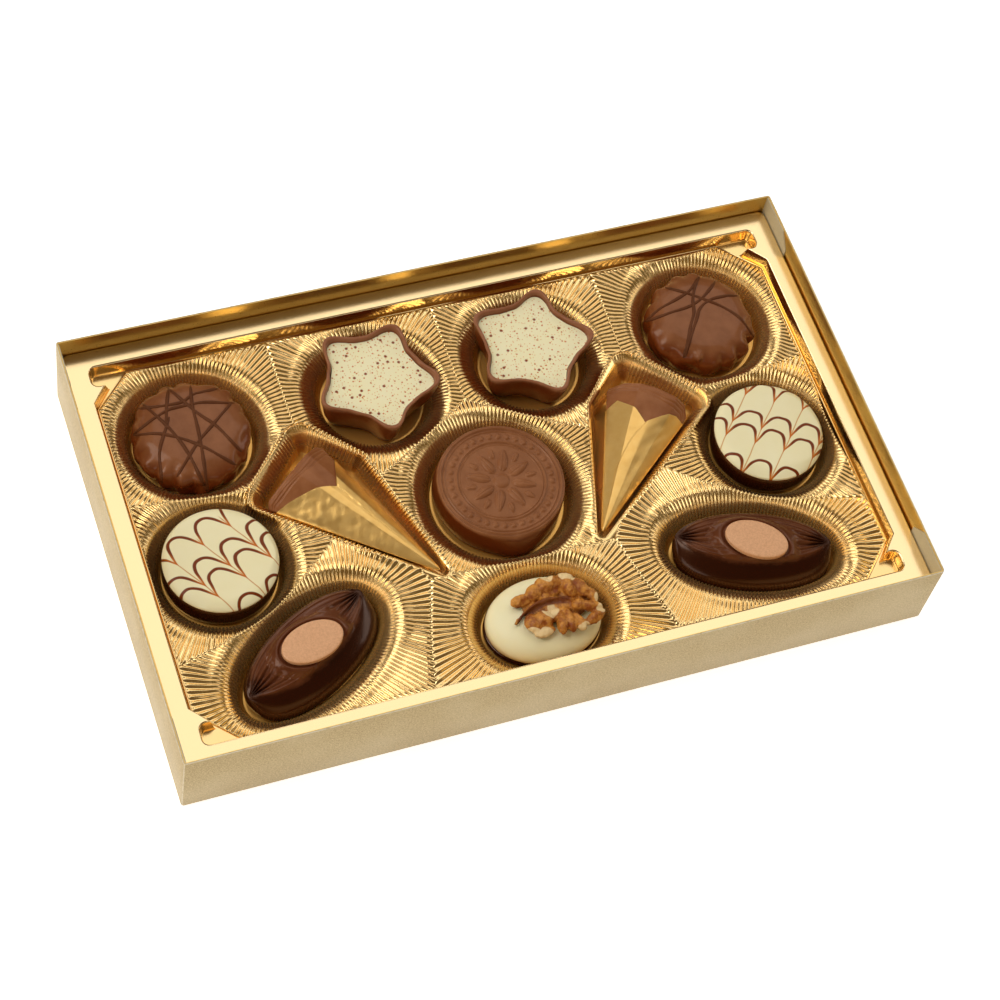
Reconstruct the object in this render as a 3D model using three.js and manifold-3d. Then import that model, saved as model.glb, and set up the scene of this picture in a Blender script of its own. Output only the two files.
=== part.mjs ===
// Box of twelve chocolate pralines: an open card box, a gold formed insert with
// twelve wells, and the pralines that stand in them.
// Millimetres, +Z up. The long side runs along X and the card bottom lies on z = 0.
import * as THREE from 'three';
import { mergeVertices, toCreasedNormals } from 'three/addons/utils/BufferGeometryUtils.js';
import Module from 'manifold-3d';

const wasm = await Module();
wasm.setup();

// Driving sizes of the card box
const BOX_LENGTH = 205;
const BOX_WIDTH = 125;
const BOX_HEIGHT = 25;
const CARD = 0.5;
const FLAP_CARD = 0.3;
const FLAP_LENGTH = 16;
const FLAP_SLOPE = 4;

// Driving sizes of the formed insert
const GAP = 0.3;
const SHEET = 0.6;
const RIM_HEIGHT = 19;
const FIELD_HEIGHT = 15.1;
const FLOOR_HEIGHT = 7.5;
const RIM_HALF_X = 96.4;
const RIM_HALF_Y = 56.4;
const STEP_LEAN = 0.7;
const SLOT_EDGE_Y = 50.4;
const SLOT_END_X = 95.5;
const SLOT_RADIUS = 1.9;
const CORNER_CUT_START = 45.6;
const CORNER_CUT_END_X = 92.3;
const BEAD_WIDTH = 0.6;
const BEAD_RISE = 0.35;

// A well's wall rises quickly from its floor and rounds off towards the field
const WALL_RISE = 7.9;
const WALL_RUN = 2.2;
const WALL_STEPS = [0, 2.2, 7];

// Where the pralines stand
const STAND = FLOOR_HEIGHT + GAP;

const TAU = 2 * Math.PI;
const degrees = (angle) => angle * Math.PI / 180;

// The floor outlines of the wells. Each is a circle or an oval.
const WELLS = {
  truffle_left: { x: -73.2, y: 34, a: 17, b: 17, turn: 0 },
  truffle_right: { x: 73.2, y: 34, a: 17, b: 17, turn: 0 },
  star_left: { x: -22.8, y: 34.6, a: 15.8, b: 15.8, turn: 0 },
  star_right: { x: 22.8, y: 34.6, a: 15.8, b: 15.8, turn: 0 },
  disc_left: { x: -76.9, y: -6.5, a: 15.8, b: 15.8, turn: 0 },
  disc_right: { x: 76.9, y: -6.5, a: 15.8, b: 15.8, turn: 0 },
  medallion: { x: 0, y: -3.4, a: 18.9, b: 18.9, turn: 0 },
  walnut: { x: -0.8, y: -42, a: 17.2, b: 13, turn: 0 },
  boat_left: { x: -61, y: -36.5, a: 24, b: 12.5, turn: 25 },
  boat_right: { x: 61, y: -36.5, a: 24, b: 12.5, turn: -25 },
};

// A cone well is the hull of four circles at its brim, x and y on the left side
const CONE_BRIM = [
  { x: -60.5, y: 9.5, r: 4.8 },
  { x: -22, y: -23.5, r: 2 },
  { x: -36, y: 13, r: 5 },
  { x: -46.5, y: 24, r: 5 },
];
const CONE_FLOOR = [
  { x: -60, y: 9.5, r: 2.8 },
  { x: -22.6, y: -22.7, r: 0.9 },
  { x: -36.4, y: 13, r: 2.2 },
  { x: -46.5, y: 23.5, r: 1.6 },
];
const CONE_BRIM_HEIGHT = 15;
const CONE_TIP_FLOOR = 12.2;

// Solids from stacked rings

function solidFromMesh(positions, triangles) {
  const mesh = new wasm.Mesh({
    numProp: 3,
    vertProperties: new Float32Array(positions),
    triVerts: new Uint32Array(triangles),
  });
  return new wasm.Manifold(mesh);
}

// Joins rings of equal point count, counted round to the left, from below upwards
function loft(rings) {
  const count = rings[0].length;
  const positions = [];
  const triangles = [];
  for (const ring of rings) {
    for (const [x, y, z] of ring) positions.push(x, y, z);
  }
  for (let level = 0; level + 1 < rings.length; level += 1) {
    for (let i = 0; i < count; i += 1) {
      const next = (i + 1) % count;
      const a = level * count + i;
      const b = level * count + next;
      const c = a + count;
      const d = b + count;
      triangles.push(a, b, d, a, d, c);
    }
  }
  const middle = (ring) => ring
    .reduce((sum, point) => sum.map((value, axis) => value + point[axis] / count), [0, 0, 0]);
  const bottom = positions.length / 3;
  positions.push(...middle(rings[0]));
  const top = bottom + 1;
  positions.push(...middle(rings[rings.length - 1]));
  const last = (rings.length - 1) * count;
  for (let i = 0; i < count; i += 1) {
    const next = (i + 1) % count;
    triangles.push(bottom, next, i, top, last + i, last + next);
  }
  return solidFromMesh(positions, triangles);
}

const atHeight = (outline, z) => outline.map(([x, y]) => [x, y, z]);
const prism = (outline, low, high) => loft([atHeight(outline, low), atHeight(outline, high)]);
const joined = (solids) => wasm.Manifold.union(solids);

// Outlines

// An oval grown outwards by an even distance
function ovalOutline({ x, y, a, b, turn }, grow, count) {
  const angle = degrees(turn);
  const points = [];
  for (let i = 0; i < count; i += 1) {
    const t = TAU * i / count;
    const nx = Math.cos(t) / a;
    const ny = Math.sin(t) / b;
    const length = Math.hypot(nx, ny);
    const u = a * Math.cos(t) + grow * nx / length;
    const v = b * Math.sin(t) + grow * ny / length;
    points.push([x + u * Math.cos(angle) - v * Math.sin(angle),
      y + u * Math.sin(angle) + v * Math.cos(angle)]);
  }
  return points;
}

// The hull of circles that are listed round to the left
function hullOutline(circles, grow, perCircle) {
  const normals = circles.map((circle, i) => {
    const next = circles[(i + 1) % circles.length];
    const dx = next.x - circle.x;
    const dy = next.y - circle.y;
    const lean = Math.asin((circle.r - next.r) / Math.hypot(dx, dy));
    return Math.atan2(dy, dx) - Math.PI / 2 + lean;
  });
  const points = [];
  circles.forEach((circle, i) => {
    const from = normals[(i + circles.length - 1) % circles.length];
    let sweep = (normals[i] - from) % TAU;
    if (sweep < 0) sweep += TAU;
    for (let k = 0; k < perCircle; k += 1) {
      const angle = from + sweep * k / (perCircle - 1);
      points.push([circle.x + (circle.r + grow) * Math.cos(angle),
        circle.y + (circle.r + grow) * Math.sin(angle)]);
    }
  });
  return points;
}

function roundedRectangle(halfX, halfY, radius, perCorner) {
  const x = halfX - radius;
  const y = halfY - radius;
  const corners = [{ x: -x, y: -y }, { x, y: -y }, { x, y }, { x: -x, y }];
  return hullOutline(corners.map((corner) => ({ ...corner, r: radius })), 0, perCorner);
}

function mirroredCircles(circles) {
  return circles.map((circle) => ({ ...circle, x: -circle.x })).reverse();
}

// The inner edge of the rim, moved inwards. Each corner has a cut and a short slot.
function rimOutline(inset) {
  const cutX = CORNER_CUT_END_X - RIM_HALF_X;
  const cutY = SLOT_EDGE_Y - CORNER_CUT_START;
  const cutLength = Math.hypot(cutX, cutY);
  const startX = RIM_HALF_X - inset * cutY / cutLength;
  const startY = CORNER_CUT_START + inset * cutX / cutLength;
  const alongTo = (x) => startY + (x - startX) * cutY / cutX;
  const acrossTo = (y) => startX + (y - startY) * cutX / cutY;
  const quarter = [
    [RIM_HALF_X - inset, alongTo(RIM_HALF_X - inset)],
    [acrossTo(SLOT_EDGE_Y + inset), SLOT_EDGE_Y + inset],
  ];
  const radius = SLOT_RADIUS - inset;
  const arcs = [[SLOT_EDGE_Y + SLOT_RADIUS, -90], [RIM_HALF_Y - SLOT_RADIUS, 0]];
  for (const [centreY, from] of arcs) {
    for (const extra of [0, 30, 60, 90]) {
      const angle = degrees(from + extra);
      quarter.push([SLOT_END_X - SLOT_RADIUS + radius * Math.cos(angle),
        centreY + radius * Math.sin(angle)]);
    }
  }
  const flip = (signX, signY) => quarter.map(([x, y]) => [signX * x, signY * y]);
  return [...flip(1, 1), ...flip(-1, 1).reverse(), ...flip(-1, -1), ...flip(1, -1).reverse()];
}

// The cut-cornered edge of the ribbed field, moved outwards
function fieldOutline(grow) {
  const halfX = RIM_HALF_X - STEP_LEAN - BEAD_WIDTH + grow;
  const halfY = RIM_HALF_Y - STEP_LEAN - BEAD_WIDTH + grow;
  const cut = 9.9 + grow * (2 - Math.SQRT2);
  const quarter = [[halfX, halfY - cut], [halfX - cut, halfY]];
  const flip = (signX, signY) => quarter.map(([x, y]) => [signX * x, signY * y]);
  return [...flip(1, 1), ...flip(-1, 1).reverse(), ...flip(-1, -1), ...flip(1, -1).reverse()];
}

// The card box

function buildCardBox() {
  const outer = prism(roundedRectangle(BOX_LENGTH / 2, BOX_WIDTH / 2, 0.8, 3), 0, BOX_HEIGHT);
  const innerX = BOX_LENGTH / 2 - CARD;
  const innerY = BOX_WIDTH / 2 - CARD;
  const inner = prism(roundedRectangle(innerX, innerY, 0.4, 3), CARD, BOX_HEIGHT + 1);
  const flaps = [];
  for (const signX of [-1, 1]) {
    for (const signY of [-1, 1]) {
      const wall = signX * (innerX + CARD / 2);
      const face = signX * (innerX - FLAP_CARD);
      const corner = signY * (innerY + CARD / 2);
      const end = signY * (innerY - FLAP_LENGTH);
      const shortEnd = signY * (innerY - FLAP_LENGTH + FLAP_SLOPE);
      const lowZ = CARD / 2;
      const highZ = BOX_HEIGHT - 0.3;
      const side = [[corner, lowZ], [shortEnd, lowZ], [end, lowZ + FLAP_SLOPE],
        [end, highZ - FLAP_SLOPE], [shortEnd, highZ], [corner, highZ]];
      if (signY > 0) side.reverse();
      flaps.push(loft([
        side.map(([y, z]) => [Math.min(wall, face), y, z]),
        side.map(([y, z]) => [Math.max(wall, face), y, z]),
      ]));
    }
  }
  return joined([outer.subtract(inner), ...flaps]);
}

// The formed insert

const wallHeight = (distance) => (
  FLOOR_HEIGHT + WALL_RISE * (1 - Math.exp(-distance / WALL_RUN)));

function wellCavity(well, sheet, count) {
  const rings = WALL_STEPS.map((distance) => (
    atHeight(ovalOutline(well, distance + sheet, count), wallHeight(distance) - sheet)));
  rings.push(atHeight(ovalOutline(well, 8.5 + sheet, count), FIELD_HEIGHT + 1));
  return loft(rings);
}

function coneCavity(brim, floor, sheet) {
  const perCircle = 5;
  const brimLine = hullOutline(brim, sheet, perCircle);
  const floorLine = hullOutline(floor, sheet, perCircle);
  const tip = floor.reduce((low, circle) => (circle.y < low.y ? circle : low));
  const wide = floor.reduce((high, circle) => (circle.y > high.y ? circle : high));
  const floorAt = (y) => {
    const share = Math.min(1, Math.max(0, (wide.y - y) / (wide.y - tip.y)));
    return FLOOR_HEIGHT + (CONE_TIP_FLOOR - FLOOR_HEIGHT) * share;
  };
  const ringAt = (share) => floorLine.map(([x, y], i) => {
    const low = floorAt(y);
    const rise = (1 - Math.exp(-1.8 * share)) / (1 - Math.exp(-1.8));
    return [x + (brimLine[i][0] - x) * share, y + (brimLine[i][1] - y) * share,
      low + (CONE_BRIM_HEIGHT - low) * rise - sheet];
  });
  const above = atHeight(hullOutline(brim, sheet + 0.5, perCircle), FIELD_HEIGHT + 1);
  return loft([ringAt(0), ringAt(0.4), ringAt(1), above]);
}

function insertCavities(sheet) {
  const count = 24;
  const step = loft([
    atHeight(rimOutline(STEP_LEAN - sheet), FIELD_HEIGHT - sheet),
    atHeight(rimOutline(-sheet), RIM_HEIGHT),
    atHeight(rimOutline(-sheet), RIM_HEIGHT + 1),
  ]);
  const wells = Object.values(WELLS).map((well) => wellCavity(well, sheet, count));
  wells.push(coneCavity(CONE_BRIM, CONE_FLOOR, sheet));
  wells.push(coneCavity(mirroredCircles(CONE_BRIM), mirroredCircles(CONE_FLOOR), sheet));
  const field = prism(fieldOutline(sheet), 0, RIM_HEIGHT);
  return step.add(joined(wells).intersect(field));
}

function buildInsert() {
  const halfX = BOX_LENGTH / 2 - CARD - FLAP_CARD - GAP;
  const halfY = BOX_WIDTH / 2 - CARD - GAP;
  const foot = CARD + GAP;
  const block = prism(roundedRectangle(halfX, halfY, 2, 4), foot, RIM_HEIGHT);
  const hollow = prism(roundedRectangle(halfX - SHEET, halfY - SHEET, 2 - SHEET, 4),
    foot - 1, RIM_HEIGHT - SHEET);
  const underside = hollow.subtract(insertCavities(SHEET));
  const bead = prism(fieldOutline(BEAD_WIDTH), FIELD_HEIGHT - 0.2, FIELD_HEIGHT + BEAD_RISE)
    .subtract(prism(fieldOutline(0), FIELD_HEIGHT - 1, RIM_HEIGHT));
  return block.subtract(insertCavities(0)).subtract(underside).add(bead);
}

// Pralines that are stacked rings about an upright axis

// Each level is a height, a size and an outline that gives the reach at an angle
function stacked(centreX, centreY, levels, count) {
  const rings = levels.map(({ z, size, reach, lift }) => {
    const ring = [];
    for (let i = 0; i < count; i += 1) {
      const angle = TAU * i / count;
      const radius = size * (reach ? reach(angle) : 1);
      ring.push([centreX + radius * Math.cos(angle), centreY + radius * Math.sin(angle),
        z + (lift ? lift(angle) : 0)]);
    }
    return ring;
  });
  return loft(rings);
}

const TRUFFLES = {
  left: { x: -73.4, y: 34.6, phase: 0.4, strands: [-62, -20, 35, 100] },
  right: { x: 72.8, y: 34.4, phase: 2.1, strands: [-48, 12, 56, 84] },
};
const TRUFFLE_TOP = 17.7;

function truffleBody({ x, y, phase }, grow) {
  const scallops = (depth) => (angle) => 1
    + depth * Math.cos(11 * angle + phase)
    + 0.6 * depth * Math.cos(5 * angle + 2 * phase);
  const levels = [
    { z: STAND, size: 13.6, reach: scallops(0.02) },
    { z: STAND + 1.4, size: 15.1, reach: scallops(0.025) },
    { z: STAND + 4.4, size: 14.9, reach: scallops(0.025) },
    { z: STAND + 7.2, size: 14, reach: scallops(0.018) },
    { z: STAND + 9.2, size: 11.6, reach: scallops(0.012) },
    { z: TRUFFLE_TOP, size: 6 },
  ];
  const grown = levels.map((level) => ({ ...level, z: level.z + grow, size: level.size + grow }));
  return stacked(x, y, grown, 26);
}

// A strand of drizzle is a narrow slice of the same body, slightly grown
function buildTruffle(truffle) {
  const thick = 0.35;
  const body = truffleBody(truffle, 0);
  const proud = truffleBody(truffle, thick);
  const slices = truffle.strands.map((turn, i) => {
    const angle = degrees(turn);
    const offset = 5.5 * Math.sin(2.4 * i + truffle.phase);
    const slice = wasm.Manifold.cube([40, 0.9, 6.2], true).rotate([0, 0, turn]);
    return slice.translate([truffle.x - offset * Math.sin(angle),
      truffle.y + offset * Math.cos(angle), STAND + 9.5]);
  });
  return body.add(proud.intersect(joined(slices)));
}

const STARS = {
  left: { x: -22.6, y: 35.2, turn: 270 },
  right: { x: 22, y: 35.2, turn: 282 },
};
const STAR_RIM = 20.2;
const STAR_WALL = 1.5;
const CREAM_TOP = 19;

const starReach = (turn, wall) => (angle) => {
  const round = 5 * (angle - degrees(turn));
  return (14.7 - wall) * (1 + 0.145 * Math.cos(round) + 0.03 * Math.cos(2 * round));
};

function starShell({ x, y, turn }) {
  const wave = (angle) => 0.35 * Math.cos(5 * (angle - degrees(turn))) - 0.15;
  const reach = starReach(turn, 0);
  const inside = starReach(turn, STAR_WALL);
  const outer = stacked(x, y, [
    { z: STAND, size: 0.79, reach },
    { z: STAND + 6, size: 0.93, reach },
    { z: STAR_RIM, size: 1, reach, lift: wave },
  ], 35);
  const cavity = stacked(x, y, [
    { z: STAND + 1.6, size: 0.78, reach: inside },
    { z: STAR_RIM + 1, size: 1.01, reach: inside },
  ], 35);
  return outer.subtract(cavity);
}

function starCream({ x, y, turn }) {
  const inside = starReach(turn, STAR_WALL + 0.4);
  return stacked(x, y, [
    { z: STAND + 2, size: 0.76, reach: inside },
    { z: CREAM_TOP - 0.2, size: 0.955, reach: inside },
    { z: CREAM_TOP, size: 0.93, reach: inside },
  ], 35);
}

const DISCS = {
  left: { x: -76.9, y: -5.9 },
  right: { x: 76.9, y: -5.9 },
};
const DISC_RADIUS = 15.1;
const DISC_TOP = 16.8;
const ICING = 1.9;

function discBase({ x, y }) {
  const under = DISC_TOP - ICING - GAP;
  return stacked(x, y, [
    { z: STAND, size: DISC_RADIUS - 0.7 },
    { z: STAND + 0.9, size: DISC_RADIUS },
    { z: under, size: DISC_RADIUS - 0.2 },
  ], 32);
}

function discIcing({ x, y }) {
  return stacked(x, y, [
    { z: DISC_TOP - ICING, size: DISC_RADIUS - 0.2 },
    { z: DISC_TOP - 0.5, size: DISC_RADIUS - 0.9 },
    { z: DISC_TOP, size: DISC_RADIUS - 2 },
  ], 32);
}

const MEDALLION = { x: 0.4, y: -2.8 };
const MEDALLION_TOP = 17.5;
const MEDALLION_FACE = 17;

// The medallion's body has three soft corners, one towards the front
function buildMedallion() {
  const { x, y } = MEDALLION;
  const corners = (rise) => (angle) => {
    const round = (1 + Math.cos(3 * (angle + Math.PI / 2))) / 2;
    const front = (1 - Math.sin(angle)) / 2;
    return 1 + rise * round ** 3 * (0.35 + 0.65 * front ** 2);
  };
  const body = stacked(x, y, [
    { z: STAND, size: 16.4, reach: corners(0.08) },
    { z: STAND + 1.2, size: 17.1, reach: corners(0.1) },
    { z: STAND + 6, size: 17.2, reach: corners(0.07) },
    { z: MEDALLION_TOP - 0.6, size: MEDALLION_FACE, reach: corners(0.01) },
    { z: MEDALLION_TOP - 0.1, size: MEDALLION_FACE - 0.5 },
  ], 33);
  const band = (radius, width, low, high) => {
    const circle = (r) => ovalOutline({ x, y, a: r, b: r, turn: 0 }, 0, 30);
    return prism(circle(radius), low, high).subtract(prism(circle(radius - width), low - 1, high + 1));
  };
  const rings = [
    band(MEDALLION_FACE - 0.6, 0.8, MEDALLION_TOP - 0.5, MEDALLION_TOP + 0.3),
    band(12.1, 0.8, MEDALLION_TOP - 0.5, MEDALLION_TOP + 0.25),
  ];
  const petals = [];
  for (let i = 0; i < 6; i += 1) {
    const angle = 60 * i;
    const petal = wasm.Manifold.sphere(1, 8).scale([3, 1.3, 0.5]);
    petals.push(petal.translate([5.2, 0, 0]).rotate([0, 0, angle])
      .translate([x, y, MEDALLION_TOP - 0.12]));
  }
  petals.push(wasm.Manifold.sphere(1.7, 8).scale([1, 1, 0.35])
    .translate([x, y, MEDALLION_TOP - 0.12]));
  return joined([body, ...rings, ...petals]);
}

const BOATS = {
  left: { x: -61.7, y: -35.3, turn: 31, plaque: 14 },
  right: { x: 60.2, y: -36.9, turn: -14.5, plaque: -33 },
};
const BOAT_HALF_LENGTH = 21.6;
const BOAT_HALF_WIDTH = 10.6;
const BOAT_TOP = 17.4;
const PLAQUE = { a: 8.5, b: 5.3, thick: 1 };

function turnedRing({ x, y, turn }, points) {
  const angle = degrees(turn);
  return points.map(([u, v, z]) => [x + u * Math.cos(angle) - v * Math.sin(angle),
    y + u * Math.sin(angle) + v * Math.cos(angle), z]);
}

// A boat praline: a lens in plan, a ledge round its side, ends lower than the middle
function buildBoat(boat) {
  const levels = [
    { z: STAND, size: 0.92, drop: 0, oval: 0 },
    { z: STAND + 1.2, size: 1, drop: 0, oval: 0 },
    { z: STAND + 5.4, size: 0.97, drop: 1.2, oval: 0 },
    { z: STAND + 6.6, size: 0.86, drop: 1.8, oval: 0 },
    { z: STAND + 7, size: 0.8, drop: 2, oval: 0 },
    { z: STAND + 8.6, size: 0.62, drop: 1.6, oval: 0.4 },
    { z: BOAT_TOP, size: 0.4, drop: 0, oval: 1 },
  ];
  const count = 30;
  const rings = levels.map(({ z, size, drop, oval }) => {
    const points = [];
    for (let i = 0; i < count; i += 1) {
      const t = TAU * i / count;
      const sharp = Math.sin(t) * Math.abs(Math.sin(t)) ** 0.3;
      const u = (1 - oval) * size * BOAT_HALF_LENGTH * Math.cos(t)
        + oval * (PLAQUE.a + 0.5) * Math.cos(t);
      const v = (1 - oval) * size * BOAT_HALF_WIDTH * sharp
        + oval * (PLAQUE.b + 0.4) * Math.sin(t);
      points.push([u, v, z - drop * Math.abs(Math.cos(t)) ** 3]);
    }
    return turnedRing(boat, points);
  });
  return loft(rings);
}

function buildPlaque(boat) {
  const outline = (grow, z) => atHeight(ovalOutline(
    { x: boat.x, y: boat.y, a: PLAQUE.a, b: PLAQUE.b, turn: boat.plaque }, grow, 26), z);
  const low = BOAT_TOP + GAP;
  return loft([outline(0, low), outline(0, low + PLAQUE.thick - 0.4),
    outline(-0.5, low + PLAQUE.thick)]);
}

const CONES = {
  left: { x: -22.8, y: -22.1, turn: 128.8, length: 46.5 },
  right: { x: 22.7, y: -22.3, turn: 53.4, length: 45 },
};
const CONE_HALF_WIDTH = 11.8;
const CONE_HALF_HEIGHT = 5.3;
const CONE_MOUTH_MIDDLE = 14.3;
const CONE_TIP_MIDDLE = 13.6;

// A cone that lies on its side, as rings along its length from the tip
function lyingCone({ x, y, turn }, length, shrink, stations) {
  const axis = [Math.cos(degrees(turn)), Math.sin(degrees(turn))];
  const side = [-axis[1], axis[0]];
  const count = 24;
  const rings = stations.map(({ along, swell, slant }) => {
    const ring = [];
    const width = Math.max(0.3, (CONE_HALF_WIDTH * along + 0.6) * swell - shrink);
    const height = Math.max(0.25, (CONE_HALF_HEIGHT * along + 0.5) * swell - shrink);
    const middle = CONE_TIP_MIDDLE + (CONE_MOUTH_MIDDLE - CONE_TIP_MIDDLE) * along;
    for (let i = 0; i < count; i += 1) {
      const t = TAU * i / count;
      const v = width * Math.cos(t);
      const u = along * length - (slant || 0) * Math.sin(t);
      ring.push([x + axis[0] * u + side[0] * v, y + axis[1] * u + side[1] * v,
        middle + height * Math.sin(t)]);
    }
    return ring;
  });
  return loft(rings);
}

// The foil's edge is a curve across the cone, further from the tip in the middle
function foilRegion({ x, y, turn }, length, reach, towardsTip) {
  const steps = 12;
  const half = 16;
  const curve = [];
  for (let i = 0; i <= steps; i += 1) {
    const v = half - 2 * half * i / steps;
    curve.push([length * reach + 3.4 * Math.cos(Math.PI * v / 2 / CONE_HALF_WIDTH) ** 2
      * (Math.abs(v) < CONE_HALF_WIDTH ? 1 : 0), v]);
  }
  const far = towardsTip ? -20 : length + 20;
  const outline = [[far, half], ...curve, [far, -half]];
  const ring = turnedRing({ x, y, turn }, outline.map(([u, v]) => [u, v, 0]));
  const flat = ring.map(([px, py]) => [px, py]);
  const section = new wasm.CrossSection([flat], 'NonZero');
  const region = section.area() > 0 ? section
    : new wasm.CrossSection([flat.reverse()], 'NonZero');
  return region.extrude(30);
}

const CONE_STATIONS = [
  { along: 0, swell: 1 },
  { along: 0.35, swell: 1 },
  { along: 0.7, swell: 1 },
  { along: 0.93, swell: 1 },
  { along: 1, swell: 0.86, slant: 1.5 },
];

function coneFoil(cone) {
  const body = lyingCone(cone, cone.length, 0, CONE_STATIONS);
  return body.intersect(foilRegion(cone, cone.length, 0.66, true));
}

function coneChocolate(cone) {
  const body = lyingCone(cone, cone.length, 0.25, CONE_STATIONS);
  return body.intersect(foilRegion(cone, cone.length, 0.66 + GAP / cone.length, false));
}

const WALNUT_PRALINE = { x: -0.8, y: -42.2 };

function walnutBase() {
  const reach = (angle) => 1 / Math.hypot(Math.cos(angle) / 15.9, Math.sin(angle) / 12.2);
  return stacked(WALNUT_PRALINE.x, WALNUT_PRALINE.y, [
    { z: STAND, size: 0.96, reach },
    { z: STAND + 0.8, size: 1, reach },
    { z: STAND + 2.4, size: 1, reach },
  ], 32);
}

function walnutCoat() {
  const reach = (angle) => 1 / Math.hypot(Math.cos(angle) / 15.6, Math.sin(angle) / 12.1);
  const low = STAND + 2.4 + GAP;
  return stacked(WALNUT_PRALINE.x, WALNUT_PRALINE.y, [
    { z: low, size: 0.99, reach },
    { z: low + 1.6, size: 1, reach },
    { z: low + 3.6, size: 0.94, reach },
    { z: low + 5.1, size: 0.8, reach },
    { z: low + 5.7, size: 0.62, reach },
    { z: low + 5.9, size: 0.3, reach },
  ], 32);
}

// A walnut half lies flat side down: two lobed halves along a middle ridge
const WALNUT = { x: 2.2, y: -41, turn: -12 };
const WALNUT_LOBES = 3;
const WALNUT_HALF_LENGTH = 12;
const WALNUT_RISE = 4;

function walnutHalf() {
  const low = STAND + 2.4 + 2 * GAP + 5.9;
  const angle = degrees(WALNUT.turn);
  const blob = (reachX, reachY, reachZ) => (
    wasm.Manifold.sphere(1, 12).scale([reachX, reachY, reachZ]));
  const put = (solid, u, v) => solid.rotate([0, 0, WALNUT.turn]).translate([
    WALNUT.x + u * Math.cos(angle) - v * Math.sin(angle),
    WALNUT.y + u * Math.sin(angle) + v * Math.cos(angle), low]);
  const pieces = [put(blob(WALNUT_HALF_LENGTH, 2.6, WALNUT_RISE - 0.7), 0, 0)];
  for (const side of [-1, 1]) {
    for (let i = 0; i < WALNUT_LOBES; i += 1) {
      const middle = i - (WALNUT_LOBES - 1) / 2;
      const reach = 4.3 - 0.4 * Math.abs(middle);
      const lobe = blob(reach, reach, WALNUT_RISE - 0.3 * Math.abs(middle));
      pieces.push(put(lobe, 6.6 * middle + 0.7 * side, side * (4.3 - 0.4 * Math.abs(middle))));
    }
  }
  const above = wasm.Manifold.cube([60, 60, 10], true).translate([0, -40, low + 5]);
  return joined(pieces).intersect(above);
}

// Materials, with the colours of each piece

const finish = (color, roughness, metalness) => (
  new THREE.MeshStandardMaterial({ color, roughness, metalness }));
const CARD_FINISH = finish(0xb9a67c, 0.45, 0.3);
const GOLD_FINISH = finish(0xe8c47c, 0.25, 1);
const FOIL_FINISH = finish(0xe0b868, 0.3, 1);
const MILK_FINISH = finish(0x7a4a32, 0.4, 0);
const DARK_FINISH = finish(0x43210f, 0.3, 0);
const CREAM_FINISH = finish(0xe6dcc0, 0.5, 0);
const WHITE_FINISH = finish(0xe2d9b6, 0.45, 0);
const PLAQUE_FINISH = finish(0xd7a078, 0.5, 0);
const NUT_FINISH = finish(0xb8803f, 0.6, 0);

const group = new THREE.Group();
group.name = 'box_of_pralines';

function addPiece(name, solid, material) {
  const mesh = solid.getMesh();
  const stride = mesh.numProp;
  const positions = new Float32Array(mesh.numVert * 3);
  for (let i = 0; i < mesh.numVert; i += 1) {
    for (let axis = 0; axis < 3; axis += 1) {
      positions[3 * i + axis] = mesh.vertProperties[stride * i + axis];
    }
  }
  let geometry = new THREE.BufferGeometry();
  geometry.setAttribute('position', new THREE.BufferAttribute(positions, 3));
  geometry.setIndex(new THREE.BufferAttribute(new Uint32Array(mesh.triVerts), 1));
  geometry = mergeVertices(geometry, 1e-5);
  geometry = toCreasedNormals(geometry, degrees(35));
  const piece = new THREE.Mesh(geometry, material);
  piece.name = name;
  group.add(piece);
}

addPiece('card_box', buildCardBox(), CARD_FINISH);
addPiece('insert_tray', buildInsert(), GOLD_FINISH);
for (const side of ['left', 'right']) {
  addPiece(`truffle_${side}`, buildTruffle(TRUFFLES[side]), MILK_FINISH);
  addPiece(`star_shell_${side}`, starShell(STARS[side]), MILK_FINISH);
  addPiece(`star_cream_${side}`, starCream(STARS[side]), CREAM_FINISH);
  addPiece(`disc_base_${side}`, discBase(DISCS[side]), DARK_FINISH);
  addPiece(`disc_icing_${side}`, discIcing(DISCS[side]), WHITE_FINISH);
  addPiece(`cone_foil_${side}`, coneFoil(CONES[side]), FOIL_FINISH);
  addPiece(`cone_chocolate_${side}`, coneChocolate(CONES[side]), MILK_FINISH);
  addPiece(`boat_${side}`, buildBoat(BOATS[side]), DARK_FINISH);
  addPiece(`boat_plaque_${side}`, buildPlaque(BOATS[side]), PLAQUE_FINISH);
}
addPiece('medallion', buildMedallion(), MILK_FINISH);
addPiece('walnut_base', walnutBase(), DARK_FINISH);
addPiece('walnut_coat', walnutCoat(), WHITE_FINISH);
addPiece('walnut_half', walnutHalf(), NUT_FINISH);

export default group;
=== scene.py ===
# %% [markdown]
# # An open box of twelve chocolate pralines
# The real thing is a shallow card box, 205 by 125 by 25 mm, with a gold plastic insert that
# has a ribbed well for each praline. The card, the insert and the pralines are each built
# as their own mesh, in millimetres, and stand in for the plain solids of the frame.

# %% Load the frame
import math

import bmesh
import bpy
import numpy as np
from mathutils import Matrix, Vector
from mathutils.bvhtree import BVHTree
from mathutils.geometry import tessellate_polygon


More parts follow.
